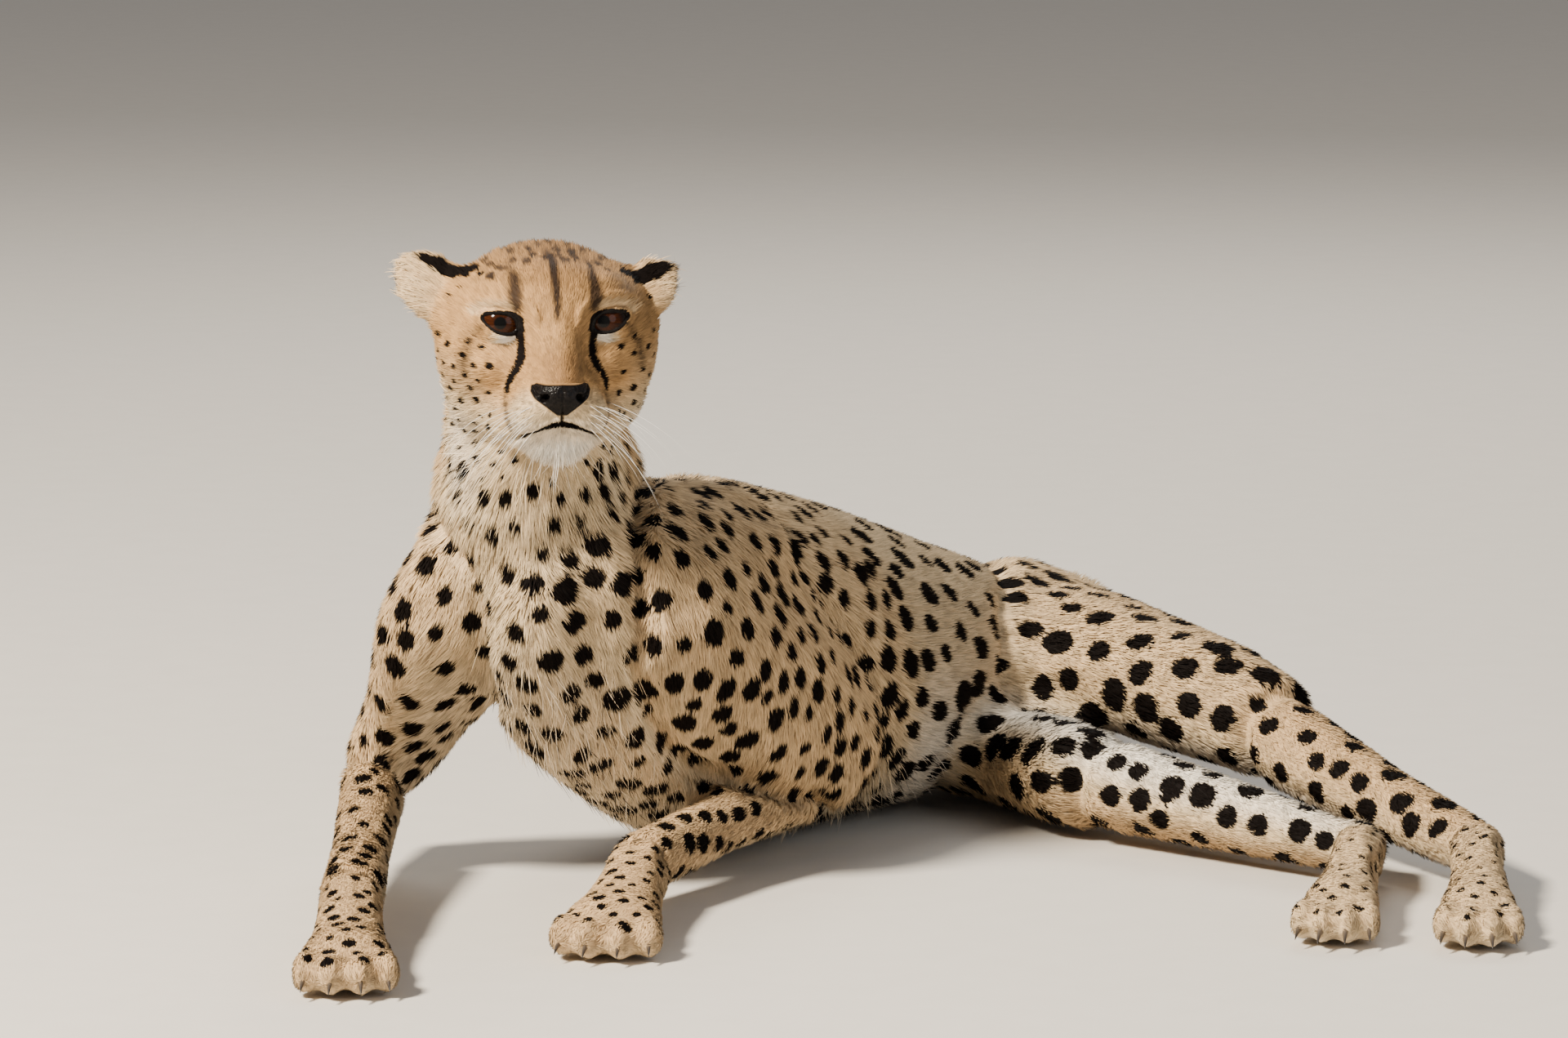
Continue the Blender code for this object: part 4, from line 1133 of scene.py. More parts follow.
def lines_at(points, normals):
    """How black and how dusky the face's lines, the ears' backs and the tail's rings are."""
    local = to_head(points)
    side, ahead, up = np.abs(local[:, 0]), local[:, 1], local[:, 2]
    flat = folded(local)
    far = np.linalg.norm(local, axis=1)
    front = zone(local, ahead=(0.004, 0.012)) * (far < HEAD_REACH)
    rag = np.sin(local @ (1500.0, 300.0, 420.0)) * np.sin(local @ (-900.0, 500.0, 1100.0))

    tears = flat - np.stack((LEFT_SHIFT * (local[:, 0] > 0), np.zeros(len(local))), 1)
    dark = smoothstep(0.0006, -0.0006, path_distance(tears, TEAR)) * front
    dashes = 0.5 + 0.5 * np.sin(2 * np.pi * up / DASH)
    thin = smoothstep(0.0005, -0.0005, path_distance(flat, TEAR_THIN)) * (0.45 + 0.55 * dashes)
    dusky = THIN_DUSK * thin * front
    for path, strength in STREAKS:
        streak = smoothstep(0.0022, -0.0016, path_distance(flat, path) + STREAK_RAG * rag)
        dusky = np.maximum(dusky, strength * streak * zone(local, ahead=(-0.03, 0.0)))

    pad = (flat - PAD_CORNER) / PAD_STEP
    off = np.linalg.norm(pad - np.round(pad), axis=1)
    on_pad = ((pad > -0.4) & (pad < PAD_DOTS)).all(axis=1) & (ahead > 0.04)
    dusky = np.maximum(dusky, PAD_DUSK * smoothstep(0.30, 0.12, off) * on_pad)

    for sign in (1, -1):
        above = smoothstep(-0.002, 0.003, eye_places(local, sign)[:, 2])
        rim = smoothstep(
            0.0036 + 0.0006 * above, 0.0024 + 0.0004 * above, lid_distance(local, sign)
        )
        dark = np.maximum(dark, rim)
    thick = 0.0012 * zone(local, side=(0.016, 0.002))
    lips = smoothstep(0.0016, 0.0006, mouth_distance(local) - thick)
    dark = np.maximum(dark, lips * zone(local, side=(0.0275, 0.0230)))
    dusky = np.maximum(dusky, LIP_DUSK * lips)
    wide, high, half = CHIN_SHADE
    chin = bump(np.hypot(side / wide, up - high), half) * (ahead > 0.05)
    dusky = np.maximum(dusky, CHIN_DUSK * chin * (0.65 + 0.35 * rag))
    groove = smoothstep(0.0015, 0.0005, philtrum_distance(local))
    dusky = np.maximum(dusky, PHILTRUM_DUSK * groove)
    dark = np.maximum(dark, smoothstep(0.0004, -0.0006, nose_distance(local)))

    dark, dusky = dark * (far < HEAD_REACH), dusky * (far < HEAD_REACH)
    for other in (ear_patch(local, normals, 1), ear_patch(local, normals, -1), tail_rings(points)):
        dark = np.maximum(dark, other)
    return np.stack((dark, dusky), axis=1)


# ------------------------------------------------------------------ materials
SHADE_LEAST, SHADE_RANGE, TIP_LIGHT = 0.49, 0.80, 0.24  # light of a tuft, and of its tip
DARK_FROM, DARK_STEEP = 0.36, 4.0  # a marking turns black from here, this steeply
SKIN_GRAIN, SKIN_TIP = 900.0, 0.35
LEATHER = ((0.35, (0.0020, 0.0016, 0.0016)), (0.65, (0.007, 0.0055, 0.005)))
LEATHER_WRINKLES, LEATHER_PORES, LEATHER_SMOOTH = 420.0, 700.0, -0.52
SKIN_ROUGH, SKIN_SHINE = 0.80, 0.11
COAT_SHINE, BLACK_SHINE = 0.14, 0.05
PUPIL_EDGE = 0.03
IRIS_RING = ((0.62, (0.0, 0.0, 0.0)), (0.78, (1.0, 1.0, 1.0)))
RING_COLOUR, PUPIL_COLOUR = (0.010, 0.006, 0.004), (0.003, 0.003, 0.003)
EYE_SHINE, EYE_WET, EYE_WET_ROUGH = 0.06, 0.14, 0.04
HORN = ((0.15, (0.16, 0.12, 0.085)), (0.95, (0.022, 0.017, 0.014)))
WHISKER = ((0.0, (0.45, 0.38, 0.30)), (0.2, (0.85, 0.82, 0.76)))


def material(name):
    """A Principled material by its name, made on first use."""
    known = bpy.data.materials.get(name)
    if known:
        return known
    roughness, build = MATERIALS[name]
    made = bpy.data.materials.new(name)
    made.use_nodes = True
    shader = made.node_tree.nodes["Principled BSDF"]
    shader.inputs["Roughness"].default_value = roughness
    build(made.node_tree, shader)
    return made


def carried(tree, name, output="Fac"):
    """The value that each vertex carries under a name."""
    node = tree.nodes.new("ShaderNodeAttribute")
    node.attribute_name = name
    return node.outputs[output]


def ramp(tree, stops, source):
    """Colours by a number."""
    node = tree.nodes.new("ShaderNodeValToRGB")
    while len(node.color_ramp.elements) < len(stops):
        node.color_ramp.elements.new(0.5)
    for element, (place, colour) in zip(node.color_ramp.elements, stops):
        element.position = place
        element.color = (*colour, 1.0)
    tree.links.new(source, node.inputs["Fac"])
    return node.outputs["Color"]


def mixed(tree, factor, first, second, blend="MIX"):
    """Two colours mixed; each input is a socket or a constant."""
    node = tree.nodes.new("ShaderNodeMix")
    node.data_type = "RGBA"
    node.blend_type = blend
    for index, value in ((0, factor), (6, first), (7, second)):
        put(tree, node.inputs[index], value)
    return node.outputs[2]


def counted(tree, operation, *values):
    """A sum on numbers; each input is a socket or a constant."""
    node = tree.nodes.new("ShaderNodeMath")
    node.operation = operation
    for socket, value in zip(node.inputs, values):
        put(tree, socket, value)
    return node.outputs[0]


def put(tree, socket, value):
    """Joins a socket to another, or sets its constant."""
    if isinstance(value, bpy.types.NodeSocket):
        tree.links.new(value, socket)
    elif isinstance(value, tuple):
        socket.default_value = (*value, 1.0)
    else:
        socket.default_value = value


def noise(tree, scale, detail=3.0, place=None):
    """A noise by the frame's own places."""
    node = tree.nodes.new("ShaderNodeTexNoise")
    node.inputs["Scale"].default_value = scale
    node.inputs["Detail"].default_value = detail
    if place is None:
        place = tree.nodes.new("ShaderNodeTexCoord").outputs["Object"]
    tree.links.new(place, node.inputs["Vector"])
    return node.outputs["Fac"]


def bumped(tree, shader, height, strength, distance):
    """Gives a shader a bump."""
    node = tree.nodes.new("ShaderNodeBump")
    node.inputs["Strength"].default_value = strength
    node.inputs["Distance"].default_value = distance
    tree.links.new(height, node.inputs["Height"])
    tree.links.new(node.outputs["Normal"], shader.inputs["Normal"])


def coat_group():
    """The coat's colour from its tone, its markings, and light and dark of single tufts."""
    known = bpy.data.node_groups.get("Coat colour")
    if known:
        return known
    coat = bpy.context.scene.cheetah_coat
    group = bpy.data.node_groups.new("Coat colour", "ShaderNodeTree")
    for name in ("Tone", "Dark", "Dusky", "Shade", "Tip"):
        group.interface.new_socket(name, in_out="INPUT", socket_type="NodeSocketFloat")
    group.interface.new_socket("Color", in_out="OUTPUT", socket_type="NodeSocketColor")
    group.interface.new_socket("Pale", in_out="OUTPUT", socket_type="NodeSocketFloat")
    given = group.nodes.new("NodeGroupInput").outputs
    result = group.nodes.new("NodeGroupOutput").inputs
    stops = (
        (0.0, tuple(coat.white)),
        (0.5 / TONE_TOP, tuple(coat.cream)),
        (1.0 / TONE_TOP, tuple(coat.tan)),
        (1.0, tuple(coat.brown)),
    )
    base = ramp(group, stops, counted(group, "MULTIPLY", given["Tone"], 1 / TONE_TOP))
    light = counted(group, "MULTIPLY_ADD", given["Shade"], SHADE_RANGE, SHADE_LEAST)
    light = counted(group, "MULTIPLY_ADD", given["Tip"], TIP_LIGHT, light)
    base = mixed(group, 1.0, base, light, "MULTIPLY")
    # Dusky marks, and on the feet the painted shade between the toes.
    base = mixed(group, given["Dusky"], base, tuple(coat.dusk))
    black = mixed(group, given["Tip"], tuple(coat.black), tuple(coat.black_tip))
    sharp = counted(group, "SUBTRACT", given["Dark"], DARK_FROM)
    sharp = counted(group, "MULTIPLY", sharp, DARK_STEEP)
    sharp = counted(group, "MINIMUM", counted(group, "MAXIMUM", sharp, 0.0), 1.0)
    group.links.new(mixed(group, sharp, base, black), result["Color"])
    group.links.new(counted(group, "SUBTRACT", 1.0, sharp), result["Pale"])
    return group


def coat_colour(tree, shade, tip):
    """The coat group in a material: its colour, and how far it is from black."""
    node = tree.nodes.new("ShaderNodeGroup")
    node.node_tree = coat_group()
    for name in ("Tone", "Dark", "Dusky"):
        tree.links.new(carried(tree, name.lower()), node.inputs[name])
    put(tree, node.inputs["Shade"], shade)
    put(tree, node.inputs["Tip"], tip)
    return node.outputs["Color"], node.outputs["Pale"]


def skin_shader(tree, shader):
    """The skin: the coat's markings with a fine short-haired bump, and bare leather."""
    fine = noise(tree, SKIN_GRAIN, 4.0)
    colour, _ = coat_colour(tree, fine, SKIN_TIP)
    leather = carried(tree, "leather")
    bare = ramp(tree, LEATHER, noise(tree, LEATHER_WRINKLES, 2.0))
    tree.links.new(mixed(tree, leather, colour, bare), shader.inputs["Base Color"])
    rough = counted(tree, "MULTIPLY_ADD", leather, LEATHER_SMOOTH, SKIN_ROUGH)
    tree.links.new(rough, shader.inputs["Roughness"])
    shader.inputs["Specular IOR Level"].default_value = SKIN_SHINE
    cells = tree.nodes.new("ShaderNodeTexVoronoi")
    cells.inputs["Scale"].default_value = LEATHER_PORES
    place = tree.nodes.new("ShaderNodeTexCoord").outputs["Object"]
    tree.links.new(place, cells.inputs["Vector"])
    pores = counted(tree, "MULTIPLY", cells.outputs["Distance"], leather)
    bumped(tree, shader, counted(tree, "ADD", fine, pores), 0.5, 0.0006)


def coat_shader(tree, shader):
    """Tufts of hair: dull, with light and dark tufts and paler tips."""
    colour, pale = coat_colour(tree, carried(tree, "shade"), carried(tree, "tip"))
    tree.links.new(colour, shader.inputs["Base Color"])
    shine = counted(tree, "MULTIPLY_ADD", pale, COAT_SHINE, BLACK_SHINE)
    tree.links.new(shine, shader.inputs["Specular IOR Level"])


def eye_shader(tree, shader):
    """An eye: dark pupil, fibrous amber iris with a dark ring, and a wet cover."""
    eyes = bpy.context.scene.cheetah_eyes
    out = carried(tree, "from_pupil")
    fibres = noise(tree, 5.0, 5.0, carried(tree, "fibre", "Vector"))
    tints = ((0.30, eyes.iris_dark), (0.52, eyes.iris), (0.72, eyes.iris_light))
    iris = ramp(tree, tints, fibres)
    edge = ((PUPIL - PUPIL_EDGE, (0.0, 0.0, 0.0)), (PUPIL + PUPIL_EDGE, (1.0, 1.0, 1.0)))
    colour = mixed(tree, ramp(tree, edge, out), PUPIL_COLOUR, iris)
    colour = mixed(tree, ramp(tree, IRIS_RING, out), colour, RING_COLOUR)
    tree.links.new(colour, shader.inputs["Base Color"])
    shader.inputs["Specular IOR Level"].default_value = EYE_SHINE
    shader.inputs["Coat Weight"].default_value = EYE_WET
    shader.inputs["Coat Roughness"].default_value = EYE_WET_ROUGH


def claw_shader(tree, shader):
    """Horn: dark at the tip, paler and faintly ridged at the root."""
    grain = noise(tree, 900.0, 3.0)
    place = counted(tree, "MULTIPLY_ADD", grain, 0.25, carried(tree, "tip"))
    tree.links.new(ramp(tree, HORN, place), shader.inputs["Base Color"])
    bumped(tree, shader, grain, 0.25, 0.0003)


def whisker_shader(tree, shader):
    """White whiskers, a little darker at the root."""
    tree.links.new(ramp(tree, WHISKER, carried(tree, "tip")), shader.inputs["Base Color"])


def floor_shader(tree, shader):
    """A plain floor with a faint grain."""
    colour = bpy.context.scene.cheetah_stage.floor
    stops = ((0.3, tuple(c * 0.97 for c in colour)), (0.7, tuple(colour)))
    tree.links.new(ramp(tree, stops, noise(tree, 30.0, 4.0)), shader.inputs["Base Color"])


MATERIALS = {  # roughness, and what builds the rest
    "Cheetah skin": (0.8, skin_shader),
    "Cheetah coat": (0.72, coat_shader),
    "Cheetah eye": (0.12, eye_shader),
    "Cheetah claw": (0.32, claw_shader),
    "Cheetah whisker": (0.35, whisker_shader),
    "Floor": (0.9, floor_shader),
}


# ------------------------------------------------------------------ tufts
SIZE_RANGE = (0.72, 1.22)  # of the tufts' sizes
LOCK_RANGE = (0.6, 1.3)
OWN_SHADE = 0.45  # share of a tuft's shade that is its own and not its clump's
MARKED_AT = (0.30, 0.95)  # of a tuft's length, where its root and tip take their marks
LOCK_MARKED_AT = 0.4
LOCK_SEED, WHISKER_SEED = 41, 23
LOCK_STRAY = 0.22
FLAT_MARGIN = 0.012  # round each chart of the unwrap
TUFT_FACES = np.array(((0, 1, 2), (0, 3, 1), (1, 3, 2), (2, 3, 0)))
TUFT_CORNERS = np.array(((0.0, 0.0), (1.0, 0.0), (0.5, 0.35), (0.5, 1.0)))  # on its patch
LOCK_SIDES = (-30, 90, 210)  # degrees round a lock
FIELD_EASING = 14
LID_SHORT = 0.55  # how much shorter the tufts are at the lids
UNDER_THIN, PRESSED_THIN, PRESSED_FLAT = 0.72, 0.5, 0.8  # of tufts that face or touch the floor
# Of a tuft's width: how deep it is sunk, and its keel's height and how far back that lies.
TUFT_SUNK, KEEL_HIGH, KEEL_BACK = 0.25, 0.55, 0.6
TUFT_ROUND, TUFT_SIDES = 0.55, 0.75  # how far its normals turn from the skin's
LOCK_SUNK, LOCK_DROOP, LOCK_THIN, LOCK_LEAN = 0.6, 0.55, 0.7, 0.7
LOCK_BEND, LOCK_SAG = 0.10, (0.05, 0.30)  # sideways and down, of its length
LOCK_TONE, LOCK_SHADE = (0.65, 1.05), (0.35, 1.0)
LEAST_RISE = 0.06  # of its length, that a tuft's tip stands off the skin


def coat_fields(skin):
    """Length, width, number to the square metre and lift of the tufts at each skin vertex."""
    points, normals = read_points(skin), read_normals(skin)
    regions = read_numbers(skin, "region").astype(int)
    fields = Web(skin).ease(by_region(COAT)[regions], FIELD_EASING)
    local = to_head(points)
    far = np.linalg.norm(local, axis=1)
    face = zone(local, ahead=(-0.030, 0.010)) * smoothstep(0.125, 0.105, far)
    muzzle = zone(local, ahead=(0.020, 0.055)) * face
    beard = zone(local, up=(-0.064, -0.072)) * muzzle
    small = np.array(FACE_TUFT)
    small = small + muzzle[:, None] * (np.array(MUZZLE_TUFT) - small)
    small = small + beard[:, None] * (np.array(CHIN_TUFT) - small)
    fields = fields + face[:, None] * (small - fields)
    bare = smoothstep(0.0004, 0.0016, nose_distance(local))
    bare *= smoothstep(0.0005, 0.0014, mouth_distance(local))
    for side in (1, -1):
        gap = lid_distance(local, side)
        bare *= smoothstep(0.0022, 0.0034, gap)
        fields[:, 0] *= 1 - LID_SHORT * smoothstep(0.009, 0.002, gap)
    under = smoothstep(-0.35, -0.75, normals[:, 2]) * smoothstep(0.06, 0.02, points[:, 2])
    pressed = smoothstep(0.010, 0.004, points[:, 2])
    fields[:, 2] *= 1 - smoothstep(0.15, 0.6, read_numbers(skin, "leather"))
    fields[:, 2] *= np.where(far < HEAD_REACH, bare, 1.0)
    fields[:, 2] *= (1 - UNDER_THIN * under) * (1 - PRESSED_THIN * pressed)
    fields[:, 3] *= 1 - PRESSED_FLAT * pressed
    return fields


def shared(values, corners, shares):
    """Vertex values read at places inside triangles."""
    shares = shares if values.ndim == 1 else shares[:, :, None]
    return (values[corners] * shares).sum(axis=1)


class Roots:
    """Random places over the skin that hair grows from, as many as a density asks for."""

    def __init__(self, skin, density, random):
        points, normals = read_points(skin), read_normals(skin)
        regions = read_numbers(skin, "region").astype(int)
        way = coat_way(points, normals, regions, Web(skin))
        corners = triangles_of(skin)
        wanted = triangle_areas(points[corners]) * density[corners].mean(axis=1)
        count = np.floor(wanted + random.random(len(wanted))).astype(int)
        pick = np.repeat(np.arange(len(corners)), count)
        self.skin = skin
        self.corners, self.shares = corners[pick], random_shares(random, len(pick))
        self.count = len(pick)
        self.points = self.read(points)
        self.normal = unit(self.read(normals))
        self.along = along_surface(self.read(way), self.normal)
        self.regions = regions[self.corners[:, 0]]
        self.places = unwrap(self.points, self.normal, self.regions)
        self.spots = make_spots(points, normals, way, regions)

    def read(self, values):
        """Values of the skin's vertices, or those under a name, at each root."""
        if isinstance(values, str):
            values = read_numbers(self.skin, values)
        return shared(values, self.corners, self.shares)

    def turn(self, swing):
        """Turns each root's way sideways by an angle, about."""
        self.along = unit(self.along + swing * np.cross(self.normal, self.along))

    def marks(self, away):
        """How black and how dusky the coat is at a place away from each root."""
        place = self.points + away
        return np.maximum(
            spots_at(place, self.normal, self.spots), lines_at(place, self.normal)
        )


def unwrap(points, normals, regions):
    """Places on a flat unwrap of the skin: each region's six sides laid out in rows."""
    side = np.argmax(np.abs(normals), axis=1)
    sign = np.take_along_axis(normals, side[:, None], 1)[:, 0] > 0
    others = np.array(((1, 2), (0, 2), (0, 1)))[side]
    flat = np.take_along_axis(points, others, 1)
    names, chart = np.unique((regions * 3 + side) * 2 + sign, return_inverse=True)
    low, high = np.full((len(names), 2), np.inf), np.full((len(names), 2), -np.inf)
    np.minimum.at(low, chart, flat)
    np.maximum.at(high, chart, flat)
    sizes = high - low + FLAT_MARGIN
    wide = 1.02 * math.sqrt((sizes[:, 0] * sizes[:, 1]).sum())
    corner = np.zeros((len(names), 2))
    x = y = tall = 0.0
    for k in np.argsort(-sizes[:, 1]):
        if x + sizes[k, 0] > wide:
            x, y, tall = 0.0, y + tall, 0.0
        corner[k] = (x, y)
        x += sizes[k, 0]
        tall = max(tall, sizes[k, 1])
    return (flat - low[chart] + corner[chart] + FLAT_MARGIN / 3) / max(wide, y + tall) * 0.99


def tuft_ways(sizes, along, normal):
    """The way each tuft points, from its lift over the skin."""
    lift = np.radians(sizes[:, 2:3])
    return np.cos(lift) * along + np.sin(lift) * normal


def clumped(roots, sizes, along, normal, random):
    """Tufts drawn together at their tips, clump by clump, and each clump's shade."""
    centres = random.permutation(len(roots))[: len(roots) // CLUMP_TUFTS]
    tree = tree_of(roots[centres])
    own = centres[[tree.find(root)[1] for root in roots]]
    tips = roots + tuft_ways(sizes, along, normal) * sizes[:, 0:1]
    run = tips + CLUMP_DRAW * (tips[own] - tips) - roots
    rise = np.maximum((run * normal).sum(1), LEAST_RISE * sizes[:, 0])
    flat = run - (run * normal).sum(1, keepdims=True) * normal
    reach = np.linalg.norm(flat, axis=1)
    lift = np.degrees(np.arctan2(rise, reach))
    made = np.stack((np.hypot(reach, rise), sizes[:, 1], lift), 1)
    return made, unit(flat), random.random(len(roots))[own]


def hair_mesh(name, corners, faces, patch, places, soft, looks):
    """Equal closed bits of hair as one mesh.

    corners: each bit's points; faces: a bit's triangles; patch: its points on its patch;
    places: of the bits on the unwrap; soft: normals; looks: numbers by name.
    """
    count, per = corners.shape[:2]
    triangles = (np.arange(count)[:, None, None] * per + faces).reshape(-1, 3)
    mesh = mesh_from_arrays(name, corners.reshape(-1, 3), triangles)
    for label, values in looks.items():
        set_attribute(mesh, label, np.broadcast_to(values, (count, per)).ravel())
    spread = (places[:, None, :] + patch * TUFT_PATCH)[:, faces].reshape(-1, 2)
    layer = mesh.uv_layers.new(name="OFBake")
    layer.uv.foreach_set("vector", spread.astype(np.float32).ravel())
    smooth_shaded(mesh).normals_split_custom_set_from_vertices(soft.reshape(-1, 3))
    return mesh


def tuft_mesh(name, roots, sizes, ways, places, looks):
    """Tufts of one piece: each a thin closed pyramid lying along the hair's way.

    roots: points; sizes: length, width, lift in degrees; ways: along and normal;
    places: on the unwrap; looks: tone, shade, and both marks at the root and the tip.
    """
    along, normal = ways
    length, width = sizes[:, 0:1], sizes[:, 1:2]
    across = unit(np.cross(normal, along))
    sunk = roots - normal * width * TUFT_SUNK
    corners = np.stack(
        (
            sunk + across * width / 2,
            sunk - across * width / 2,
            sunk + normal * width * KEEL_HIGH - along * width * KEEL_BACK,
            roots + tuft_ways(sizes, along, normal) * length,
        ),
        axis=1,
    )
    soft = unit(normal[:, None, :] + TUFT_ROUND * unit(corners - roots[:, None, :]))
    soft[:, 0] = unit(normal + TUFT_SIDES * across)
    soft[:, 1] = unit(normal - TUFT_SIDES * across)
    soft[:, 2] = normal
    looks = {
        "tone": looks[:, 0:1],
        "shade": looks[:, 1:2],
        "dark": looks[:, (2, 2, 2, 4)],
        "dusky": looks[:, (3, 3, 3, 5)],
        "tip": (0.0, 0.0, 0.0, 1.0),
    }
    return hair_mesh(name, corners, TUFT_FACES, TUFT_CORNERS, places, soft, looks)


# ------------------------------------------------------------------ pieces
def finished(name, mesh, look, slot, *nodes):
    """A piece that rides on the body, in place of solids; its slot is not used."""
    mesh.materials.clear()
    mesh.materials.append(material(look))
    thing = add_object(name, mesh)
    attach(thing, "root")
    if nodes:
        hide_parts(*nodes)
    return thing


def smooth_shaded(mesh):
    """Shades a mesh smooth."""
    mesh.polygons.foreach_set("use_smooth", np.ones(len(mesh.polygons), bool))
    return mesh


def hollows(points, normals, regions, web):
    """Painted shade between the toes, where the skin is sunk, 0 to 1."""
    sunk = web.ease(((web.mean(points) - points) * normals).sum(1), 2)
    return 0.55 * smoothstep(0.00005, 0.00035, sunk) * np.isin(regions, FEET)


def leather_of(local):
    """Bare leather: the nose pad, the lids' rims and the lips' line."""
    bare = smoothstep(0.0006, -0.0006, nose_distance(local))
    for side in (1, -1):
        bare = np.maximum(bare, smoothstep(0.0018, 0.0008, lid_distance(local, side)))
    bare = np.maximum(bare, smoothstep(0.0009, 0.0003, mouth_distance(local)))
    return bare * (np.linalg.norm(local, axis=1) < HEAD_REACH)


class CHEETAH_OT_skin(bpy.types.Operator):
    """Builds the skin from the solids, with the face's features and the markings"""

    bl_idname = "cheetah.skin"
    bl_label = "Skin"

    def execute(self, context):
        tree, owners = region_tree()
        mesh = skin_form(context.scene.cheetah_skin, tree, owners)
        regions = regions_of(read_points(mesh), tree, owners)
        relief(mesh, regions)
        fold_body(mesh, regions)
        sculpt(mesh)
        smooth_shaded(mesh)
        points, normals = read_points(mesh), read_normals(mesh)
        regions = regions_of(points, tree, owners)
        web = Web(mesh)
        way = coat_way(points, normals, regions, web)
        spots = make_spots(points, normals, way, regions)
        marks = np.maximum(spots_at(points, normals, spots), lines_at(points, normals))
        set_attribute(mesh, "region", regions)
        set_attribute(mesh, "tone", tone_of(points, normals, regions, web))
        set_attribute(mesh, "dark", marks[:, 0])
        # Painted shade: the sunk places between the toes are darkened, and join the dusky marks.
        painted_toe_shade = hollows(points, normals, regions, web)
        set_attribute(mesh, "dusky", np.maximum(marks[:, 1], painted_toe_shade))
        set_attribute(mesh, "leather", leather_of(to_head(points)))
        if len(triangles_of(mesh)) > PIECE_TRIANGLES:
            raise RuntimeError("the skin has too many triangles: widen its cell")
        flesh = [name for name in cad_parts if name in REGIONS]
        finished("skin", mesh, "Cheetah skin", "coat", *flesh)
        return {"FINISHED"}


class CHEETAH_OT_coat(bpy.types.Operator):
    """Covers the skin with tufts of hair that lie along the body"""

    bl_idname = "cheetah.coat"
    bl_label = "Coat"

    def execute(self, context):
        settings = context.scene.cheetah_coat
        skin = bpy.data.objects["skin"].data
        fields = coat_fields(skin)
        random = np.random.default_rng(settings.seed)
        roots = Roots(skin, fields[:, 2] * settings.fullness, random)
        if not roots.count:
            raise RuntimeError("no place on the skin carries tufts")
        count, points, normal = roots.count, roots.points, roots.normal
        sizes = roots.read(fields)[:, (0, 1, 3)] * random.uniform(*SIZE_RANGE, (count, 3))
        roots.turn(random.normal(0.0, math.radians(settings.stray), (count, 1)))
        sizes, along, clump = clumped(points, sizes, roots.along, normal, random)
        shade = OWN_SHADE * random.random(count) + (1 - OWN_SHADE) * clump
        run = tuft_ways(sizes, along, normal) * sizes[:, 0:1]
        marks = [roots.marks(part * run) for part in MARKED_AT]
        looks = np.column_stack((roots.read("tone"), shade, *marks))
        # The forepaws' tufts also take the skin's dusky marks, which hold the painted shade between
        # the toes.
        paws = np.isin(roots.regions, of_regions("forepaw"))
        looks[:, 3] = np.maximum(looks[:, 3], roots.read("dusky") * paws)
        order = np.argsort(points[:, 1], kind="stable")
        pieces = math.ceil(len(TUFT_FACES) * count / PIECE_TRIANGLES)
        for number, chosen in enumerate(np.array_split(order, pieces)):
            name = f"coat_{number + 1}"
            ways = (along[chosen], normal[chosen])
            places = roots.places[chosen]
            mesh = tuft_mesh(name, points[chosen], sizes[chosen], ways, places, looks[chosen])
            finished(name, mesh, "Cheetah coat", "coat")
        return {"FINISHED"}


def lock_fields(skin):
    """Number to the square metre, length, width and lift of the locks at each skin vertex."""
    points, normals = read_points(skin), read_normals(skin)
    regions = read_numbers(skin, "region").astype(int)
    local = to_head(points)
    head = np.isin(regions, of_regions("head"))
    throat = zone(local, up=(-0.066, -0.078), side=(0.10, 0.05), ahead=(-0.110, -0.060))
    throat *= zone(local, up=(-0.165, -0.110)) * smoothstep(-0.1, -0.5, normals[:, 1])
    throat *= np.isin(regions, of_regions("neck", "head", "chest"))
    cheek = zone(local, side=(0.046, 0.058), up=(-0.020, -0.045), ahead=(-0.050, -0.020))
    cheek *= zone(local, up=(-0.105, -0.080), ahead=(0.030, 0.010)) * head
    belly = smoothstep(0.25, -0.35, normals[:, 2]) * smoothstep(0.006, 0.030, points[:, 2])
    belly *= np.isin(regions, of_regions("abdomen", "chest"))
    crown = zone(local, side=(0.034, 0.010), up=(0.030, 0.046)) * head
    ears = np.isin(regions, EARS)
    zones = np.stack((throat, cheek, belly, crown, ears), axis=1)
    fields = zones @ np.array(LOCKS)
    return fields / np.maximum(zones.sum(axis=1, keepdims=True), 1.0)


def lock_mesh(name, roots, ways, sizes, bends, places, looks):
    """Long thin locks: each a closed bent cone of three sides.

    ways: along and normal; sizes: length, width and lift; bends: sideways and down;
    looks: tone and shade; the marks are those of the root's place.
    """
    along, normal = ways
    across = unit(np.cross(normal, along))
    length, width, lift = (sizes[:, k : k + 1] for k in range(3))
    bend = bends[:, 0:1] * across - bends[:, 1:2] * np.array((0.0, 0.0, 1.0))
    rings = []
    for part, thick in LOCK_RINGS:
        rise = np.tan(np.radians(lift)) * part * (1 - LOCK_DROOP * part)
        line = roots - normal * width * LOCK_SUNK + length * (part * along + rise * normal)
        line = line + length * part ** 2 * bend
        for angle in np.radians(LOCK_SIDES):
            rim = math.cos(angle) * across + LOCK_THIN * math.sin(angle) * normal
            rings.append(line + width * thick * rim)
    tall = len(LOCK_RINGS)
    tips = np.repeat([part for part, _ in LOCK_RINGS], 3)
    patch = np.stack((np.tile((0.0, 1.0, 0.5), tall), tips), axis=1)
    lean = np.tile((LOCK_LEAN, 0.0, -LOCK_LEAN), tall)[None, :, None]
    soft = unit(normal[:, None, :] + lean * across[:, None, :])
    labels = ("tone", "shade", "dark", "dusky")
    looks = {label: looks[:, k : k + 1] for k, label in enumerate(labels)}
    looks["tip"] = tips
    corners = np.stack(rings, axis=1)
    return hair_mesh(name, corners, tube_faces(tall, 3), patch, places, soft, looks)


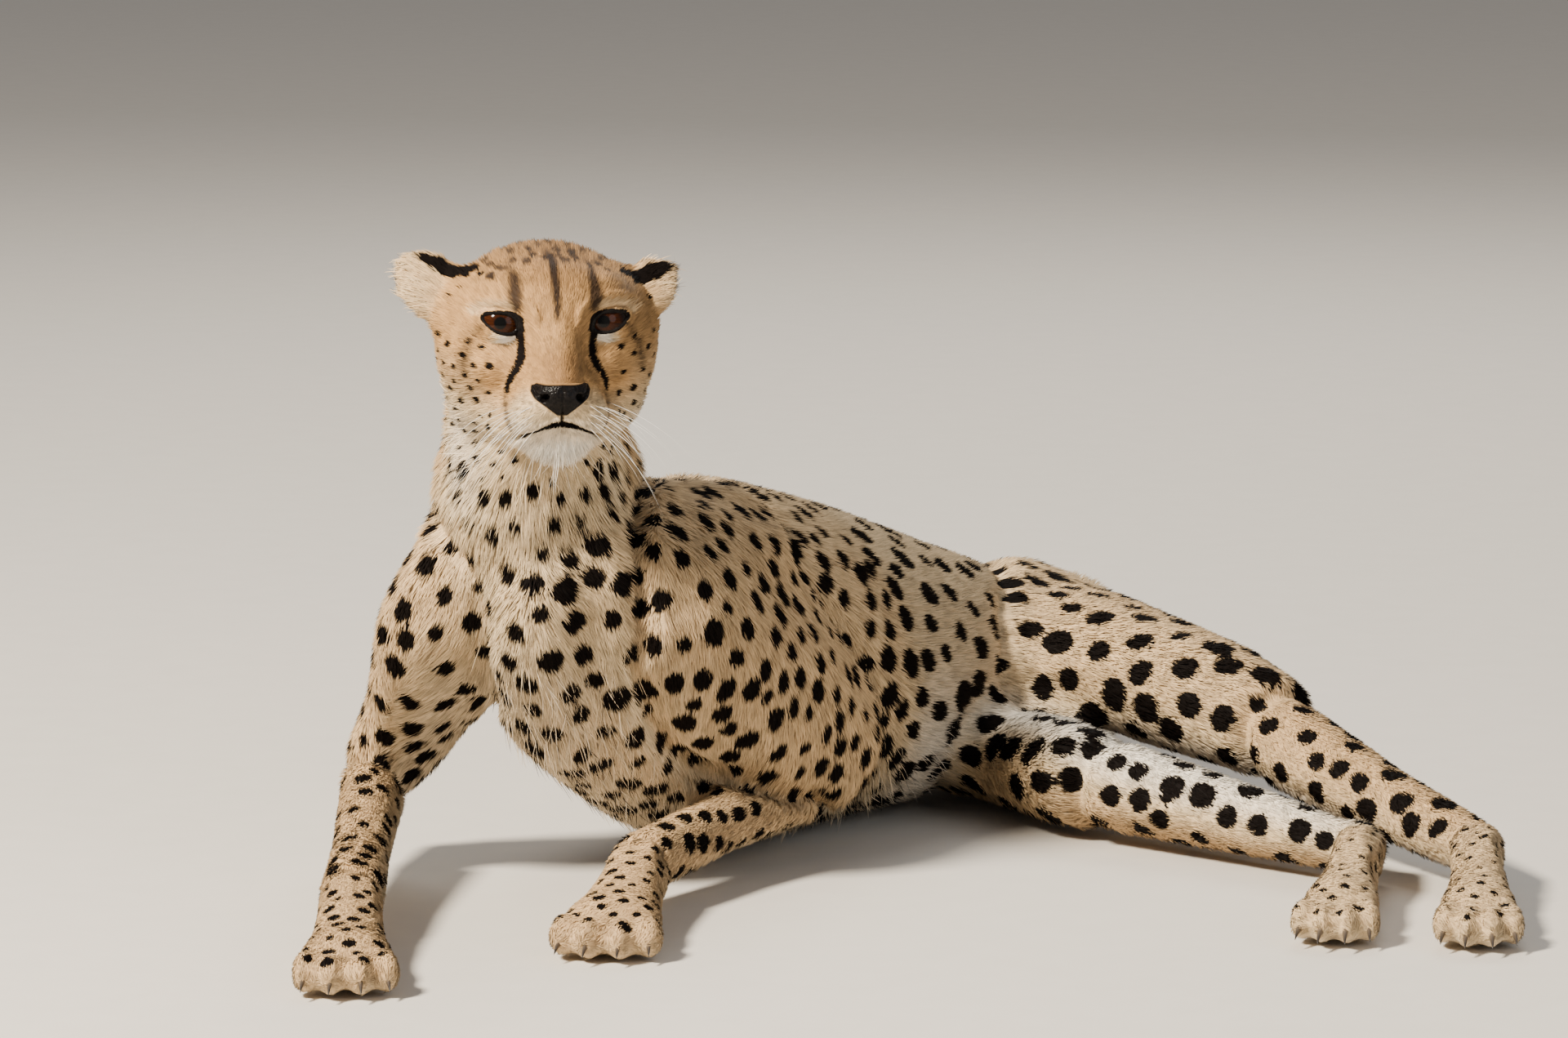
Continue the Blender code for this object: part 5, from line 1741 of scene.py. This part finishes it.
class CHEETAH_OT_locks(bpy.types.Operator):
    """Adds the long hair of the throat, the cheeks, the belly, the crown and the ears"""

    bl_idname = "cheetah.locks"
    bl_label = "Long hair"

    def execute(self, context):
        skin = bpy.data.objects["skin"].data
        fields = lock_fields(skin)
        random = np.random.default_rng(LOCK_SEED)
        roots = Roots(skin, fields[:, 0], random)
        count, points, normal = roots.count, roots.points, roots.normal
        if not count:
            raise RuntimeError("no place on the skin carries long hair")
        roots.turn(random.normal(0.0, LOCK_STRAY, (count, 1)))
        sizes = roots.read(fields)[:, 1:] * random.uniform(*LOCK_RANGE, (count, 3))
        sideways, down = random.normal(0.0, LOCK_BEND, count), random.uniform(*LOCK_SAG, count)
        down *= smoothstep(0.010, 0.022, sizes[:, 0]) * smoothstep(0.012, 0.030, points[:, 2])
        marks = roots.marks(roots.along * sizes[:, 0:1] * LOCK_MARKED_AT)
        tone = roots.read("tone") * random.uniform(*LOCK_TONE, count)
        looks = np.column_stack((tone, random.uniform(*LOCK_SHADE, count), marks))
        ways, bends = (roots.along, normal), np.stack((sideways, down), axis=1)
        mesh = lock_mesh("coat_long", points, ways, sizes, bends, roots.places, looks)
        if len(mesh.polygons) > PIECE_TRIANGLES:
            raise RuntimeError("the long hair has too many triangles")
        finished("coat_long", mesh, "Cheetah coat", "coat")
        return {"FINISHED"}


# ------------------------------------------------------------------ eyes, claws and whiskers
BALL_STEPS = 64
IRIS_PART = 0.7  # of the eye's colours, where the iris ends
BEHIND = 1.57  # angle from the gaze, over which the ball is all dark
FIBRE_ROUND, FIBRE_OUT = 1.6, 0.5  # the iris's fibres vary round it, and less outward
CLAW_RINGS, CLAW_SIDES, CLAW_FLAT = 12, 12, 0.72
WHISKER_RINGS, WHISKER_SIDES = 9, 5
# Of the whiskers: the first root's place (side, up), what each next one in a row adds, what
# each row adds, and how far the roots stray.
WHISKER_FIRST = (0.0165, -0.0440)
WHISKER_NEXT = (0.0042, -0.0012)
WHISKER_ROW = -0.0050
WHISKER_STRAY = (0.0006, 0.0005)
WHISKER_SUNK = 0.001
WHISKER_SEEN_FROM = 0.12  # ahead, from where the pad is looked for
# Shares of the length: at random, of the first in a row, and more for each next one.
WHISKER_RANGE, WHISKER_SHORT, WHISKER_MORE = (0.6, 1.15), 0.62, 0.12
# Ways that the first and the second half run, what each row adds to the last number, the
# spread, and the part of the length.
WHISKER_HALVES = (
    ((0.80, -0.30, -0.15), -0.16, 0.07, 0.5),
    ((0.50, 0.05, -0.80), -0.06, 0.08, 0.55),
)


def tube_faces(rings, sides):
    """Triangles of a tube of rings of points, closed at both ends."""
    faces = []
    for ring in range(rings - 1):
        for side in range(sides):
            a, b = ring * sides + side, ring * sides + (side + 1) % sides
            faces += [(a, b, b + sides), (a, b + sides, a + sides)]
    last = (rings - 1) * sides
    for side in range(1, sides - 1):
        faces += [(0, side + 1, side), (last, last + side, last + side + 1)]
    return np.array(faces)


def curved_cone(start, bend, end, radius, rings, sides, flat=1.0):
    """Points of a pointed cone along a bent line, and how far along each point is."""
    t = np.linspace(0.0, 1.0, rings)[:, None]
    line = (1 - t) ** 2 * start + 2 * t * (1 - t) * bend + t ** 2 * end
    run = unit(np.gradient(line, axis=0))
    side = unit(np.cross(run, (bend - start) + np.array((0.013, 0.007, 0.9)) * 0.01))
    other = np.cross(run, side)
    angle = np.linspace(0.0, 2 * np.pi, sides, endpoint=False)[None, :, None]
    size = radius * (1 - t) ** 0.75 + radius * 0.02
    rim = flat * np.cos(angle) * side[:, None] + np.sin(angle) * other[:, None]
    return (line[:, None] + size[:, None] * rim).reshape(-1, 3), np.repeat(t[:, 0], sides)


class CHEETAH_OT_eyes(bpy.types.Operator):
    """Builds the two eyes, which look straight ahead between their lids"""

    bl_idname = "cheetah.eyes"
    bl_label = "Eyes"

    def execute(self, context):
        settings = context.scene.cheetah_eyes
        edge = settings.iris_radius / EYE_RADIUS
        work = bmesh.new()
        bmesh.ops.create_uvsphere(
            work, u_segments=BALL_STEPS, v_segments=BALL_STEPS, radius=1.0
        )
        for name, side in (("left", 1), ("right", -1)):
            mesh = bpy.data.meshes.new("eyeball_" + name)
            work.to_mesh(mesh)
            ball = read_points(mesh)
            polar = np.arccos(np.clip(ball[:, 2], -1, 1))
            behind = polar > BEHIND
            set_attribute(mesh, "from_pupil", np.sin(polar) / edge * IRIS_PART + behind)
            fibre = unit(ball * (1, 1, 0)) * FIBRE_ROUND
            fibre[:, 2] = polar * FIBRE_OUT
            attribute = mesh.attributes.new("fibre", "FLOAT_VECTOR", "POINT")
            attribute.data.foreach_set("vector", fibre.astype(np.float32).ravel())
            bulge = smoothstep(1.15 * edge, 0.2 * edge, np.sin(polar)) * (polar < 1.5)
            ball *= EYE_RADIUS * (1 + settings.cornea * bulge[:, None])
            middle = from_head(EYES[side])
            gaze = Vector(unit(CAMERA_PLACE - middle)).to_track_quat("Z", "Y")
            write_points(mesh, middle + ball @ np.array(gaze.to_matrix()).T)
            finished(mesh.name, smooth_shaded(mesh), "Cheetah eye", "eye", "eye_" + name)
        work.free()
        return {"FINISHED"}


class CHEETAH_OT_claws(bpy.types.Operator):
    """Builds the sixteen curved claws at the ends of the toes"""

    bl_idname = "cheetah.claws"
    bl_label = "Claws"

    def execute(self, context):
        names = [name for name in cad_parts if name.startswith("claw_")]
        if not names:
            raise RuntimeError("the frame has no claws")
        for name in names:
            points = read_points(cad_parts[name].data)
            middle = points.mean(axis=0)
            run = np.linalg.svd(points - middle)[2][0]
            toe = name.removeprefix("claw_")
            paw = node_middle(toe.rsplit("_", 1)[0])
            run = run * np.sign(run @ (middle - paw))
            reach = (points - middle) @ run
            start, end = middle + run * reach.min(), middle + run * reach.max()
            bend = (start + end) / 2 + np.array((0.0, 0.0, CLAW_BEND))
            made, along = curved_cone(
                start, bend, end, CLAW_RADIUS, CLAW_RINGS, CLAW_SIDES, CLAW_FLAT
            )
            mesh = mesh_from_arrays("horn_" + toe, made, tube_faces(CLAW_RINGS, CLAW_SIDES))
            set_attribute(mesh, "tip", along)
            finished(mesh.name, smooth_shaded(mesh), "Cheetah claw", "claw", name)
        return {"FINISHED"}


class CHEETAH_OT_whiskers(bpy.types.Operator):
    """Sets the whiskers into the pads beside the nose"""

    bl_idname = "cheetah.whiskers"
    bl_label = "Whiskers"

    def execute(self, context):
        settings = context.scene.cheetah_whiskers
        skin = bpy.data.objects["skin"].data
        form = BVHTree.FromPolygons(read_points(skin).tolist(), triangles_of(skin).tolist())
        random = np.random.default_rng(WHISKER_SEED)
        ahead = HEAD_AXES @ np.array((0.0, -1.0, 0.0))
        faces = tube_faces(WHISKER_RINGS, WHISKER_SIDES)
        points, alongs = [], []
        order = itertools.product((1, -1), range(settings.rows), range(settings.in_row))
        for side, row, place in order:
            out = WHISKER_FIRST[0] + WHISKER_NEXT[0] * place
            out = side * (out + random.normal(0, WHISKER_STRAY[0]))
            up = WHISKER_FIRST[1] + WHISKER_ROW * row + WHISKER_NEXT[1] * place
            up += random.normal(0, WHISKER_STRAY[1])
            start = from_head((out, WHISKER_SEEN_FROM, up))
            hit = form.ray_cast(Vector(start), Vector(-ahead))[0]
            if hit is None:
                raise RuntimeError("a whisker finds no pad to stand in")
            length = settings.length * random.uniform(*WHISKER_RANGE)
            length *= WHISKER_SHORT + WHISKER_MORE * place
            line = [np.array(hit) - ahead * WHISKER_SUNK]
            for (wide, back, high), more, spread, part in WHISKER_HALVES:
                way = np.array((side * wide, back, high + more * row))
                way = unit(HEAD_AXES @ (way + random.normal(0, spread, 3)))
                line.append(line[-1] + way * length * part)
            made, along = curved_cone(*line, settings.radius, WHISKER_RINGS, WHISKER_SIDES)
            points.append(made)
            alongs.append(along)
        triangles = [faces + len(made) * number for number in range(len(points))]
        mesh = mesh_from_arrays("whiskers", np.concatenate(points), np.concatenate(triangles))
        set_attribute(mesh, "tip", np.concatenate(alongs))
        finished("whiskers", smooth_shaded(mesh), "Cheetah whisker", "coat")
        return {"FINISHED"}


def on_stage(name, data, place, way):
    """A lamp or a camera that belongs to the stage and points a way."""
    thing = add_object(name, data)
    thing.location = place
    thing.rotation_euler = Vector(way).to_track_quat("-Z", "Y").to_euler()
    return thing


# ------------------------------------------------------------------ stage
# Of each lamp: its place from what it shines at, its size and its colour.
LAMPS = {
    "key": ((-2.6, -2.6, 3.2), 0.9, (1.0, 0.905, 0.77)),
    "fill": ((3.2, -3.2, 1.6), 3.0, (0.88, 0.94, 1.0)),
    "back": ((0.6, 3.4, 2.8), 2.2, (1.0, 0.97, 0.92)),
}
LAMPS_AIM = HEAD_MIDDLE + np.array((0.15, 0.2, -0.2))
SKY_COLOUR = (0.97, 0.97, 1.0, 1.0)
SENSOR_WIDTH = 36.0


class CHEETAH_OT_stage(bpy.types.Operator):
    """Sets the floor, the soft lamps and the camera"""

    bl_idname = "cheetah.stage"
    bl_label = "Stage"

    def execute(self, context):
        stage = context.scene.cheetah_stage
        corners = np.array(((-1, -1, 0), (1, -1, 0), (1, 1, 0), (-1, 1, 0))) * stage.floor_half
        mesh = bpy.data.meshes.new("floor")
        mesh.from_pydata(corners.tolist(), [], [(0, 1, 2, 3)])
        mesh.materials.append(material("Floor"))
        add_object("floor", mesh)
        for name, (away, size, colour) in LAMPS.items():
            lamp = bpy.data.lights.new(name, "AREA")
            lamp.shape = "DISK"
            lamp.size = size
            lamp.energy = getattr(stage, name)
            lamp.color = colour
            on_stage(name, lamp, LAMPS_AIM + np.array(away), -np.array(away))
        world = bpy.data.worlds.new("sky")
        world.use_nodes = True
        sky = world.node_tree.nodes["Background"].inputs
        sky["Color"].default_value = SKY_COLOUR
        sky["Strength"].default_value = stage.sky
        context.scene.world = world
        camera = bpy.data.cameras.new("camera")
        camera.lens = stage.lens
        camera.sensor_width = SENSOR_WIDTH
        context.scene.camera = on_stage("camera", camera, CAMERA_PLACE, CAMERA_AIM)
        return {"FINISHED"}


class CHEETAH_PT_panel(bpy.types.Panel):
    """The pieces of the cheetah, in the order they are built"""

    bl_idname = "CHEETAH_PT_panel"
    bl_label = "Resting cheetah"
    bl_space_type = "VIEW_3D"
    bl_region_type = "UI"
    bl_category = "Cheetah"

    def draw(self, context):
        for settings in SETTINGS:
            group = getattr(context.scene, settings)
            for name in group.bl_rna.properties.keys():
                if name not in ("rna_type", "name"):
                    self.layout.prop(group, name)
        for operator in OPERATORS:
            self.layout.operator(operator.bl_idname)


OPERATORS = (
    CHEETAH_OT_skin,
    CHEETAH_OT_eyes,
    CHEETAH_OT_claws,
    CHEETAH_OT_coat,
    CHEETAH_OT_locks,
    CHEETAH_OT_whiskers,
    CHEETAH_OT_stage,
)
SETTINGS = {
    "cheetah_skin": SkinSettings,
    "cheetah_coat": CoatSettings,
    "cheetah_eyes": EyeSettings,
    "cheetah_whiskers": WhiskerSettings,
    "cheetah_stage": StageSettings,
}


def register():
    """Registers the settings, the operators and the panel."""
    for name, settings in SETTINGS.items():
        bpy.utils.register_class(settings)
        setattr(bpy.types.Scene, name, PointerProperty(type=settings))
    for operator in OPERATORS:
        bpy.utils.register_class(operator)
    bpy.utils.register_class(CHEETAH_PT_panel)


def unregister():
    """Takes away what register() added."""
    bpy.utils.unregister_class(CHEETAH_PT_panel)
    for operator in reversed(OPERATORS):
        bpy.utils.unregister_class(operator)
    for name, settings in SETTINGS.items():
        delattr(bpy.types.Scene, name)
        bpy.utils.unregister_class(settings)


def main():
    """Builds every piece in order."""
    register()
    bpy.ops.cheetah.skin()
    bpy.ops.cheetah.eyes()
    bpy.ops.cheetah.claws()
    bpy.ops.cheetah.coat()
    bpy.ops.cheetah.locks()
    bpy.ops.cheetah.whiskers()
    bpy.ops.cheetah.stage()


if __name__ == "__main__":
    main()
